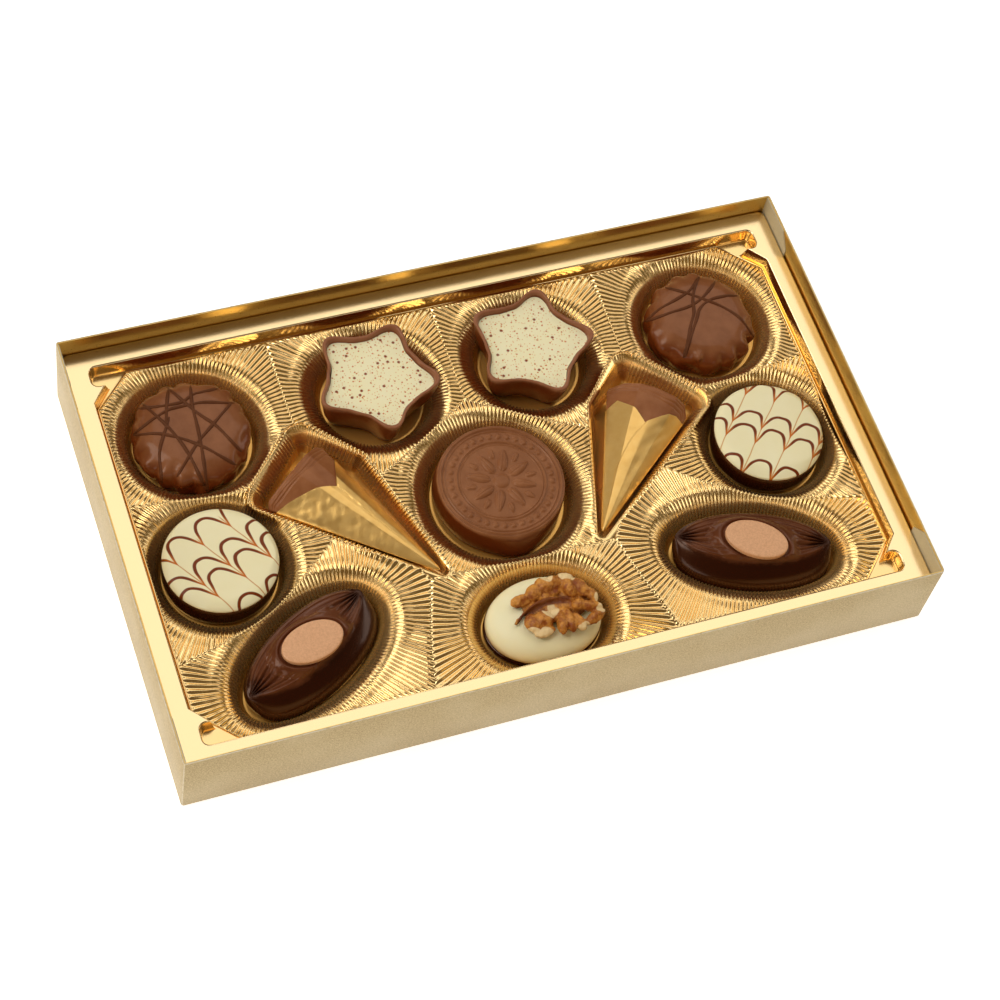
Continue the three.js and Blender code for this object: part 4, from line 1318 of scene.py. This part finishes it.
def disc_icing(x, y, seed):
    """The cap: flat on top, with a bevel whose width wanders."""
    angle = full_turn(180)
    front = np.exp(-((angle - math.radians(245)) / 0.9) ** 2)
    wander = 0.5 * np.sin(3 * angle + seed) + 0.3 * np.sin(8 * angle) + 2.0 * front
    bevel = 1.3 + np.clip(wander, -0.6, 2.4)
    levels = [(14.6, ICING_LOW), (14.95, ICING_LOW + 0.15), (15.0, ICING_LOW + 0.5),
              (ICING_EDGE, ICING_LOW + 0.8)]
    for share, drop in [(0.35, 0.62), (0.7, 0.24), (1.0, 0.04), (1.25, 0)]:
        levels.append((ICING_EDGE - bevel * share, DISC_TOP - drop))
    rings = [round_ring(x, y, reach, angle, z) for reach, z in levels]
    flat_edge = rings[-1]
    for size in (0.7, 0.4, 0.15):
        ring = flat_edge.copy()
        ring[:, 0] = x + (ring[:, 0] - x) * size
        ring[:, 1] = y + (ring[:, 1] - y) * size
        ring[:, 2] = DISC_TOP + 0.02 * ripples(ring, 5.0, seed)
        rings.append(ring)
    return closed_stack(rings)


print("a disc is", round(DISC_TOP - STAND, 1), "mm high, with", ICING, "mm of icing")

# %% [markdown]
# ## Feathering the icing
# The pattern can be written as a sum. Combing turns each straight line into a row of
# arches that follow a power curve between the comb's teeth. The distance to that curve,
# corrected for its steepness, gives a line of even width that thins where it was dragged.

# %% Feathered icing
def feathered_finish(name, x, y, heading, first_comb, comb_pitch, slant, arch_height,
                     roundness, lines):
    """Icing with piped lines, dragged towards heading in degrees at even comb pitch."""
    finish = Finish(name, Subsurface_Weight=0.04, Subsurface_Radius=MILKY,
                    Specular_IOR_Level=0.2)
    angle = math.radians(heading)
    wander = (finish.noise(7.0, detail=1.0) - 0.5) * 1.6
    dx, dy = finish.x - x, finish.y - y
    along = dx * math.cos(angle) + dy * math.sin(angle) + wander
    across = dy * math.cos(angle) - dx * math.sin(angle) + wander * 0.5
    strip = finish.math("FRACT", (across - first_comb) / comb_pitch)
    out = abs(strip * 2 - 1)
    arch = arch_height * out ** roundness
    steep = arch_height * roundness * 2 / comb_pitch * out ** (roundness - 1)
    true = (1 + steep * steep) ** 0.5
    level = along - across * slant - arch
    thin = 1 - 0.55 * finish.step(out, 0.72, 1.0)
    stroke = None
    for line in lines:
        near = abs(level - line) / true
        mark = 1 - finish.step(near / thin, 0.32, 0.52)
        stroke = mark if stroke is None else finish.most(stroke, mark)
    comb = finish.least(strip, 1 - strip) * comb_pitch
    drag = 1 - finish.step(comb, 0.08, 0.24)
    drag = drag * finish.step(along, lines[0] + 3.0, lines[0] + 5.0) * 0.75
    cloud = finish.noise(6.0, detail=3.0)
    base = finish.mix(cloud, linear((249, 238, 188)), linear((254, 246, 206)))
    brown = finish.mix(finish.step(out, 0.7, 0.95), linear((122, 50, 6)),
                       linear((204, 112, 34)))
    color = finish.mix(drag, base, linear((206, 138, 56)))
    color = finish.mix(stroke, color, brown)
    return finish.wear(color=color, roughness=0.3 + cloud * 0.12, bumps=[(cloud, 0.04)])


icing_left = feathered_finish("feathered_icing_left", -76.9, -5.9, -57, -8.9, 8.8, 0.15,
                              6.5, 2.6, (-12.0, -3.1, 1.6, 12.0))
icing_right = feathered_finish("feathered_icing_right", 76.9, -5.9, 227.5, -10.0, 7.9, -0.19,
                               5.2, 3.0, (-14.6, -4.7, 0.2, 10.4))
for side, icing in (("left", icing_left), ("right", icing_right)):
    x, y, seed = DISCS[side]
    place_piece(f"disc_{side}_base", disc_base(x, y, seed), dark,
                replaces=[f"disc_base_{side}"], sharp_angle=50)
    place_piece(f"disc_{side}_icing", disc_icing(x, y, seed), icing,
                replaces=[f"disc_icing_{side}"], sharp_angle=40)

# %% [markdown]
# ## The medallion
# The middle praline is a thick coin of milk chocolate with a tip towards the front. Its
# face is struck with plain rings. A ring of beads and a rosette fill it in a common way.

# %% Medallion
MEDALLION = (0.4, -2.8)
MEDALLION_FACE = 17.2
BEADS = 36
BEAD_CIRCLE = 13.6
# The side of the coin: height, radius, and how far its front corner stands out
COIN_SIDE = [(7.8, 16.0, 0.08), (8.1, 16.5, 0.085), (8.7, 16.95, 0.095), (9.6, 17.15, 0.1),
             (11.5, 17.2, 0.088), (13.8, 17.2, 0.07), (15.6, 17.15, 0.04),
             (16.6, 17.05, 0.015), (17.05, 16.95, 0.0), (17.3, 16.75, 0.0)]
# Each round of petals: how many, reach, half length, half width, height and turn
PETALS = [(8, 6.2, 3.3, 1.35, 0.5, 0.0), (8, 8.4, 1.6, 0.8, 0.36, 0.5)]


def medallion_face(radius, angle):
    """Height of the struck relief above the face."""
    def band(middle, half, tall):
        return 1.4 * tall * (soft_step(radius, middle - half, middle - half * 0.45)
                             - soft_step(radius, middle + half * 0.45, middle + half))
    relief = band(16.1, 0.34, 0.34) + band(15.2, 0.2, 0.2) + band(11.9, 0.34, 0.3)
    relief += band(11.1, 0.16, 0.14)
    bead_turn = (angle * BEADS / TAU) % 1 - 0.5
    bead_away = np.hypot(radius - BEAD_CIRCLE, bead_turn * TAU / BEADS * BEAD_CIRCLE)
    relief += 0.42 * np.sqrt(np.clip(1 - (bead_away / 0.82) ** 2, 0, 1))
    for petals, reach, long, wide, tall, turn in PETALS:
        petal_turn = ((angle * petals / TAU + turn) % 1 - 0.5) * TAU / petals
        u = (radius * np.cos(petal_turn) - reach) / long
        v = radius * np.sin(petal_turn) / (wide * (1 - 0.35 * np.clip(u, -1, 1)))
        hump = np.sqrt(np.clip(1 - u * u - v * v, 0, 1))
        vein = 0.12 * np.exp(-(radius * np.sin(petal_turn) / 0.16) ** 2) * (hump > 0.2)
        relief += 1.35 * tall * hump - vein
    relief += 0.6 * np.sqrt(np.clip(1 - (radius / 2.2) ** 2, 0, 1))
    return relief


def medallion_shape():
    x, y = MEDALLION
    angle = full_turn(432)
    three = (1 + np.cos(3 * (angle + math.pi / 2))) / 2
    front = (1 - np.sin(angle)) / 2
    corner = three ** 3 * (0.35 + 0.65 * front ** 2)
    rings = []
    for z, size, rise in COIN_SIDE:
        rings.append(round_ring(x, y, size * (1 + rise * corner), angle, z))
    for reach in np.concatenate([np.linspace(16.6, 0.6, 96), [0.3]]):
        relief = medallion_face(np.full(len(angle), reach), angle)
        rings.append(round_ring(x, y, reach, angle, MEDALLION_FACE + relief))
    return closed_stack(rings)


place_piece("medallion_coin", medallion_shape(), milk_coin,
            replaces=["medallion"], sharp_angle=None)

# %% [markdown]
# ## The boats
# A boat is dark chocolate from a leaf-shaped mould. Grooves fan out from both ends, and an
# oval plaque of pale chocolate sits in a shallow seat on top. The outline is a lens, and
# the grooves are cut by lowering points near lines that meet at the tips.

# %% Boats
BOATS = {
    "left": {"x": -61.5, "y": -35.5, "turn": 31, "plaque": 14},
    "right": {"x": 60.3, "y": -37.2, "turn": -17, "plaque": -33},
}
PLAQUE_FOOT = 16.8
PLAQUE_HALF_LENGTH = 8.5
PLAQUE_HALF_WIDTH = 5.3
PLAQUE_SEAT = 17.1
# The top of a boat is a lens. Its crown is given as heights at shares of the lens
LENS_HALF_LENGTH = 20.9
LENS_HALF_WIDTH = 7.0
LENS_BLUNTNESS = -0.25
LENS_SHIFT = 2.0
CROWN_SHARES = [0, 0.25, 0.5, 0.75, 0.92, 1.0]
CROWN_HEIGHTS = [17.4, 17.3, 16.7, 15.8, 15.1, 14.85]
# Each groove: its lane across the top from -1 to 1, half width, depth, and how far from the
# middle it starts
GROOVES = [(-0.76, 0.05, 0.4, 0.0), (-0.42, 0.13, 0.85, 0.45), (-0.02, 0.11, 0.8, 0.5),
           (0.34, 0.12, 0.85, 0.46), (0.7, 0.07, 0.4, 0.2)]


def turned(praline, u, v, z, extra=0.0):
    angle = math.radians(praline["turn"] + extra)
    return np.column_stack([praline["x"] + u * math.cos(angle) - v * math.sin(angle),
                            praline["y"] + u * math.sin(angle) + v * math.cos(angle), z])


def boat_outline(count, length, width, bluntness):
    """A leaf outline. It is an oval at bluntness 0 and gets pointed ends below that."""
    t = full_turn(count)
    return t, length * np.cos(t), width * np.sin(t) * np.abs(np.sin(t)) ** -bluntness


# Height, half length, half width, bluntness and shift to the back of the body's sides
BOAT_SIDES = [(7.8, 19.4, 9.3, 0.24, -0.5), (8.1, 20.1, 10.0, 0.24, -0.5),
              (8.8, 20.8, 10.6, 0.23, -0.5), (9.8, 21.3, 10.9, 0.2, -0.4),
              (11.0, 21.5, 10.8, 0.15, -0.1), (12.2, 21.5, 10.3, 0.08, 0.4),
              (13.2, 21.4, 9.5, 0.0, 1.0), (14.0, 21.3, 8.6, -0.09, 1.5),
              (14.5, 21.2, 7.9, -0.16, 1.8), (14.8, 21.1, 7.2, -0.22, 2.0)]


def boat_shape(boat):
    """The sides as rings, then the lens on top, with its ridge, its grooves and the seat."""
    rings = []
    for z, length, width, bluntness, shift in BOAT_SIDES:
        t, u, v = boat_outline(320, length, width, bluntness)
        droop = 0.2 * max(z - 10.5, 0) * np.abs(np.cos(t)) ** 4
        rings.append(turned(boat, u, v + shift, z - droop))
    t, edge_u, edge_v = boat_outline(320, LENS_HALF_LENGTH, LENS_HALF_WIDTH, LENS_BLUNTNESS)
    plaque_turn = math.radians(boat["plaque"] - boat["turn"])
    for size in np.linspace(1.0, 0.05, 60):
        u, v = edge_u * size, edge_v * size
        z = smooth_curve(CROWN_SHARES, CROWN_HEIGHTS, size)
        out = np.abs(u) / 21.0
        z = z - 0.8 * np.abs(np.cos(t)) ** 4 * soft_step(size, 0.2, 1.0)
        z = z + 0.4 * np.exp(-((size - 0.95) / 0.025) ** 2) * soft_step(out, 1.0, 0.8)
        lane = v / (LENS_HALF_WIDTH * np.clip(1 - out ** 1.9, 0.02, 1))
        for middle, half, deep, start in GROOVES:
            fade = soft_step(out, start, start + 0.15) * (1 - soft_step(out, 0.88, 0.98))
            z = z - deep * fade * np.exp(-((lane - middle) / half) ** 2)
        v = v + LENS_SHIFT
        a = u * math.cos(plaque_turn) + v * math.sin(plaque_turn)
        b = v * math.cos(plaque_turn) - u * math.sin(plaque_turn)
        seat = np.hypot(a / (PLAQUE_HALF_LENGTH + 0.35), b / (PLAQUE_HALF_WIDTH + 0.35))
        pad = 1 - soft_step(seat, 1.12, 1.45)
        z = z + pad * (PLAQUE_SEAT - z).clip(0, 2)
        z = z + 0.2 * np.exp(-((seat - 1.12) / 0.06) ** 2)
        z = z - 0.45 * soft_step(1.07 - seat, 0.0, 0.05)
        rings.append(turned(boat, u, v, z))
    return closed_stack(rings)


def plaque_shape(boat):
    t = full_turn(120)
    extra = boat["plaque"] - boat["turn"]
    rings = []
    for grow, rise in [(-0.2, 0), (0, 0.2), (0, 1.15), (-0.08, 1.35), (-0.3, 1.46),
                       (-0.7, 1.5), (-2.2, 1.54), (-4.2, 1.56)]:
        u = (PLAQUE_HALF_LENGTH + grow) * np.cos(t)
        v = (PLAQUE_HALF_WIDTH + grow) * np.sin(t)
        rings.append(turned(boat, u, v, np.full(len(t), PLAQUE_FOOT + rise), extra))
    return closed_stack(rings)


def plaque_finish():
    finish = Finish("blond_plaque", Specular_IOR_Level=0.4, Coat_Weight=0.25,
                    Coat_Roughness=0.2)
    grain = finish.noise(0.5, detail=3.0, roughness=0.7)
    cloud = finish.noise(3.5, detail=2.0)
    color = finish.mix(finish.step(grain, 0.3, 0.7), linear((212, 154, 108)),
                       linear((234, 178, 130)))
    color = finish.mix(cloud * 0.3, color, linear((240, 190, 144)))
    return finish.wear(color=color, roughness=0.44 + grain * 0.15,
                       bumps=[(grain, 0.03), (cloud, 0.05)])


blond = plaque_finish()
for side, boat in BOATS.items():
    place_piece(f"boat_{side}_body", boat_shape(boat), dark,
                replaces=[f"boat_{side}"], sharp_angle=None)
    place_piece(f"boat_{side}_plaque", plaque_shape(boat), blond,
                replaces=[f"boat_plaque_{side}"], sharp_angle=40)

# %% [markdown]
# ## The cones
# A cone of milk chocolate lies on its side with its point in gold foil. Its top is two soft
# facets that meet in a ridge. The foil is wrapped round, so it has one long crease, small
# crumples and an edge that curves across the cone.

# %% Cones
# The foil's edge and the mouth are shares of the length, and the roof is a share of the
# height, each across the cone from -1 to 1. The flap is where the wrap's last edge lies
# across the cone, along it from 0 to 1
CONES = {
    "left": {"x": -22.8, "y": -22.1, "turn": 128.8, "length": 46.5, "seed": 2,
             "foil": ([-1, -0.95, -0.28, 0.15, 0.75, 1], [0.86, 0.856, 0.733, 0.82, 0.903, 0.93]),
             "mouth": ([-1, -0.9, 0, 0.9, 1], [0.97, 0.99, 0.985, 1.0, 0.985]),
             "roof": ([-1, -0.5, -0.12, 0.1, 1], [0, 0.78, 1.0, 0.97, 0]),
             "flap": ([0, 1], [-0.1, -0.28])},
    "right": {"x": 22.7, "y": -22.3, "turn": 53.4, "length": 45.0, "seed": 6,
              "foil": ([-1, -0.78, -0.6, -0.13, 0.25, 0.72, 0.95, 1],
                       [0.877, 0.88, 0.856, 0.747, 0.823, 0.86, 0.80, 0.79]),
              "mouth": ([-1, -0.85, 0, 0.65, 0.9, 1], [0.942, 0.99, 1.0, 0.99, 0.96, 0.95]),
              "roof": ([-1, -0.62, -0.2, 0.3, 1], [0, 0.84, 1.0, 0.9, 0]),
              "flap": ([0, 0.45, 0.8, 1], [0.3, 0.42, 0.1, -0.13])},
}
CONE_HALF_WIDTH = 12.0
CONE_HALF_HEIGHT = 5.2
MOUTH_MIDDLE = 14.3
TIP_MIDDLE = 13.6
CONE_POINTS = 300
MOUTH_GROOVES = (1.4, 2.5, 3.6)


def cone_point(cone, along, t, shrink=0.0):
    """A point on the cone: along from 0 at the tip to 1, t round it, both arrays."""
    width = (CONE_HALF_WIDTH * along + 0.5) - shrink
    tall = (CONE_HALF_HEIGHT * along + 0.45) - shrink
    middle = TIP_MIDDLE + (MOUTH_MIDDLE - TIP_MIDDLE) * along
    across = np.cos(t)
    roof = np.interp(across, *cone["roof"])
    upper = np.where(np.sin(t) > 0, roof * 0.72 + np.sin(t) * 0.28, np.sin(t))
    return along * cone["length"], width * across, middle + tall * upper


def cone_foil(cone):
    """The wrap from the tip to its curved edge, with crumples and the step of its flap."""
    t = full_turn(CONE_POINTS)
    edge = np.interp(np.cos(t), *cone["foil"])
    shares = np.concatenate([[0.0, 0.006], np.linspace(0.02, 1.0, 130)])
    rings = []
    for share in shares:
        u, v, z = cone_point(cone, edge * share, t, shrink=0.0 if share > 0.01 else 0.2)
        rings.append(turned(cone, u, v, z))
    for share, shrink in ((1.0, 0.12), (0.985, 0.2)):
        u, v, z = cone_point(cone, edge * share, t, shrink=shrink)
        rings.append(turned(cone, u, v, z))
    rings = np.array(rings)
    flat = rings.reshape(-1, 3)
    size = np.repeat(np.concatenate([shares, [1, 1]]), CONE_POINTS)
    push = 0.03 * ripples(flat, 1.5, cone["seed"]) + 0.08 * ripples(flat, 5.0, cone["seed"] + 1)
    over = np.interp(size, *cone["flap"]) - np.tile(np.cos(t), len(rings))
    push += 0.32 * soft_step(over, 0.0, 0.04) * (1 - soft_step(over, 0.2, 0.8))
    flat[:, 2] += push * size * (np.tile(np.sin(t), len(rings)) > 0)
    return closed_stack(flat.reshape(rings.shape))


def cone_chocolate(cone):
    """The open end from just under the foil to the mouth, with its fine grooves."""
    t = full_turn(CONE_POINTS)
    start = np.interp(np.cos(t), *cone["foil"]) - 0.03
    mouth = np.interp(np.cos(t), *cone["mouth"])
    rings = []
    for share in np.linspace(0, 1, 60):
        along = start + (mouth - start) * share
        shrink = 0.3 + 0.5 * max(share - 0.88, 0) / 0.12
        u, v, z = cone_point(cone, along, t, shrink=shrink)
        distance = (mouth - along) * cone["length"]
        grooves = np.zeros(CONE_POINTS)
        for place in MOUTH_GROOVES:
            bow = place * (0.75 - 0.25 * np.cos(t)) + 0.2 * np.sin(5 * np.cos(t) + place)
            grooves += np.exp(-((distance - bow) / 0.24) ** 2)
        z = z - 0.17 * grooves * (np.sin(t) > 0.1)
        rings.append(turned(cone, u, v, z))
    for shrink, out in ((1.4, 0.25), (2.4, 0.3), (5.0, -0.6)):
        u, v, z = cone_point(cone, mouth, t, shrink=min(shrink, 4.9))
        rings.append(turned(cone, u + out, v, z))
    rings = np.array(rings)
    flat = rings.reshape(-1, 3)
    flat[:, 2] += 0.1 * ripples(flat, 4.0, cone["seed"] + 3)
    return closed_stack(flat.reshape(rings.shape))


def foil_finish():
    finish = Finish("gold_foil", Metallic=1.0)
    crumple = finish.noise(2.2, detail=4.0, roughness=0.6)
    fine = finish.noise(0.35, detail=2.0)
    color = finish.mix(crumple, linear((230, 180, 96)), linear((242, 204, 130)))
    return finish.wear(color=color, roughness=0.3 + fine * 0.12,
                       bumps=[(crumple, 0.05), (fine, 0.006)])


foil = foil_finish()
for side, cone in CONES.items():
    place_piece(f"cone_{side}_foil", cone_foil(cone), foil,
                replaces=[f"cone_foil_{side}"], sharp_angle=60)
    place_piece(f"cone_{side}_chocolate", cone_chocolate(cone), milk,
                replaces=[f"cone_chocolate_{side}"], sharp_angle=60)

# %% [markdown]
# ## The walnut praline
# A white oval cushion on a thin dark foot carries half a walnut. The cushion could be a
# scaled ball, but the real one has a flatter top and steeper sides. So its rings follow a
# quarter turn whose width falls off more slowly than a ball's.

# %% Walnut base and coat
WALNUT_PRALINE = (-0.8, -42.2)


def oval_stack(levels, half_x, half_y):
    """Ovals one on another, each with its height and its share of the full size."""
    angle = full_turn(200)
    reach = 1 / np.hypot(np.cos(angle) / half_x, np.sin(angle) / half_y)
    return closed_stack([round_ring(*WALNUT_PRALINE, size * reach, angle, z)
                         for z, size in levels])


base_shape = oval_stack([(7.8, 0.94), (8.1, 0.975), (8.7, 1.0), (9.6, 1.0), (10.2, 0.99),
                         (10.4, 0.96)], 15.9, 12.2)
place_piece("walnut_praline_base", base_shape, dark,
            replaces=["walnut_base"], sharp_angle=50)
coat_levels = [(10.3, 0.965), (10.6, 0.99)]
for climb in np.linspace(0, 1, 40):
    arc = climb * math.pi / 2
    coat_levels.append((11.0 + 5.4 * math.sin(arc), max(math.cos(arc), 0.002) ** 0.55))


def white_finish():
    finish = Finish("white_coat", Subsurface_Weight=0.1, Subsurface_Radius=MILKY,
                    Specular_IOR_Level=0.3)
    cloud = finish.noise(6.0, detail=3.0)
    grain = finish.noise(0.6, detail=2.0)
    foot = finish.step(finish.z, 10.4, 12.8)
    base = finish.mix(cloud, linear((250, 240, 192)), linear((254, 247, 208)))
    color = finish.mix(1 - foot, base, linear((200, 168, 104)))
    return finish.wear(color=color, roughness=0.32 + cloud * 0.12,
                       bumps=[(cloud, 0.05), (grain, 0.008)])


place_piece("walnut_praline_coat", oval_stack(coat_levels, 15.6, 12.1), white_finish(),
            replaces=["walnut_coat"], sharp_angle=60)

# %% [markdown]
# ## The walnut half
# A walnut kernel is a heap of lobes in two halves with a papery skin between them. The
# lobes could be sculpted by hand. Here they are flattened balls, set out where the real ones
# lie, and the skin is a row of thin upright ones. A voxel remesh fuses them, ripples roughen
# the result, and broken spots show the pale flesh.

# %% Walnut half
# Lobes of the kernel: middle x, y, z, half length, half width, half height, turn in degrees
LOBES = [
    (-6.4, -38.2, 17.6, 3.3, 1.7, 1.4, 8), (-2.6, -37.0, 18.2, 2.6, 2.2, 1.9, 30),
    (0.4, -36.0, 18.5, 2.6, 2.4, 1.8, -10), (3.2, -35.6, 18.2, 2.7, 1.8, 1.8, -15),
    (6.6, -35.2, 18.0, 2.6, 1.4, 1.7, -22), (0.6, -38.4, 17.6, 4.2, 1.3, 1.2, 6),
    (6.6, -38.0, 18.6, 1.9, 3.1, 1.9, 8), (9.4, -38.6, 18.2, 2.1, 3.3, 1.9, 32),
    (11.8, -41.0, 17.6, 1.6, 2.6, 1.5, 20), (7.4, -43.2, 18.2, 1.9, 1.8, 1.6, 0),
    (10.2, -44.4, 18.1, 3.5, 1.5, 1.6, -16), (10.6, -47.6, 17.6, 3.5, 1.5, 1.4, 22),
    (-5.4, -45.4, 17.9, 2.4, 3.0, 1.8, 20), (-2.6, -45.2, 18.2, 2.6, 2.6, 1.9, -20),
    (-3.4, -48.0, 17.5, 3.0, 1.8, 1.3, 0), (1.6, -47.4, 18.1, 1.5, 3.2, 1.9, -12),
    (3.8, -47.2, 18.2, 1.4, 3.4, 1.9, 2), (6.0, -47.8, 17.8, 1.6, 2.9, 1.6, 22),
    (1.0, -44.4, 17.6, 4.6, 1.6, 1.2, 10), (2.0, -41.8, 17.0, 9.0, 4.6, 0.9, -6),
]
# The skin between the halves, as knots of a low standing strip
SKIN = [(-9.6, -43.8), (-6.8, -41.8), (-3.0, -40.4), (1.0, -40.0), (4.0, -40.8), (6.6, -42.6)]
# Places where the kernel is broken open and shows its pale inside
BROKEN = [(7.2, -34.6, 18.6, 1.9), (-0.6, -43.6, 19.6, 1.5), (0.6, -42.6, 19.2, 1.4),
          (-6.4, -48.2, 17.2, 1.7), (-3.2, -48.8, 17.4, 1.5), (13.4, -42.6, 18.0, 1.1),
          (6.8, -50.0, 17.6, 1.4), (12.6, -45.6, 18.0, 1.0), (1.6, -34.4, 19.4, 1.1)]
# The grain of the remesh, in metres
VOXEL = 0.00024


def ellipsoid(x, y, z, long, wide, tall, turn_deg):
    ball = bmesh.new()
    bmesh.ops.create_icosphere(ball, subdivisions=3, radius=1)
    points = np.array([v.co for v in ball.verts]) * (long, wide, tall)
    faces = [[v.index for v in f.verts] for f in ball.faces]
    ball.free()
    praline = {"x": x, "y": y, "turn": turn_deg}
    return turned(praline, points[:, 0], points[:, 1], z + points[:, 2]), faces


def walnut_shape():
    parts = [ellipsoid(*lobe) for lobe in LOBES]
    knots = np.array(SKIN, float)
    marks = np.arange(len(knots))
    for mark in np.linspace(0, marks[-1], 46):
        x, y = (smooth_curve(marks, knots[:, k], mark) for k in (0, 1))
        rise = 1.9 * math.sin(math.pi * (mark + 0.4) / (marks[-1] + 0.8))
        parts.append(ellipsoid(x, y, 16.7 + rise / 2, 0.5, 0.42, 0.5 + rise / 2, 0))
    return joined(*parts)


def walnut_finish():
    finish = Finish("walnut_skin", Specular_IOR_Level=0.35)
    patch = finish.noise(2.6, detail=4.0, roughness=0.65)
    grain = finish.noise(0.45, detail=3.0)
    # Darker low down and between the lobes: painted shade
    low = 1 - finish.step(finish.z + patch * 1.5, 17.2, 19.0)
    skin = finish.mix(finish.step(patch, 0.35, 0.68), linear((140, 68, 8)),
                      linear((226, 156, 66)))
    pale = None
    for x, y, z, reach in BROKEN:
        dx, dy, dz = finish.x - x, finish.y - y, finish.z - z
        away = (dx * dx + dy * dy + dz * dz) ** 0.5
        spot = 1 - finish.step(away + patch * 1.4, reach + 1.1, reach + 1.4)
        pale = spot if pale is None else finish.most(pale, spot)
    color = finish.mix(pale * 0.95, skin, linear((246, 216, 160)))
    strip = 1 - finish.step(abs(finish.y + 40.4 + (finish.x - 0.5) * (finish.x - 0.5) * 0.04),
                            0.7, 1.2)
    inside = finish.step(finish.x, -9.8, -9.0) * (1 - finish.step(finish.x, 4.5, 6.0))
    color = finish.mix(strip * inside * 0.85, color, linear((116, 56, 20)))
    # Painted shade over the low parts of the kernel
    color = finish.mix(low * 0.85, color, linear((66, 28, 5)))
    return finish.wear(color=color, roughness=0.32 + grain * 0.2,
                       bumps=[(patch, 0.12), (grain, 0.05)])


walnut = place_piece("walnut_kernel", walnut_shape(), walnut_finish(),
                     replaces=["walnut_half"], sharp_angle=60)
fuse = walnut.modifiers.new("fuse", "REMESH")
fuse.mode = "VOXEL"
fuse.voxel_size = VOXEL
fuse.use_smooth_shade = True
depsgraph = bpy.context.evaluated_depsgraph_get()
fused = bpy.data.meshes.new_from_object(walnut.evaluated_get(depsgraph))
walnut.modifiers.clear()
points = np.array([v.co for v in fused.vertices]) * 1000
normals = np.array([v.normal for v in fused.vertices])
rough = 0.12 * ripples(points, 2.2, 21) - 0.1 * np.abs(ripples(points, 1.5, 22))
rough += 0.05 * ripples(points, 0.5, 23)
points = points + normals * rough[:, None]
points[:, 2] = np.clip(points[:, 2], 16.2, 20.6)
for vertex, point in zip(fused.vertices, points / 1000):
    vertex.co = point
walnut.data = fused
walnut.data.shade_smooth()
print("walnut kernel:", len(fused.polygons), "faces after fusing")
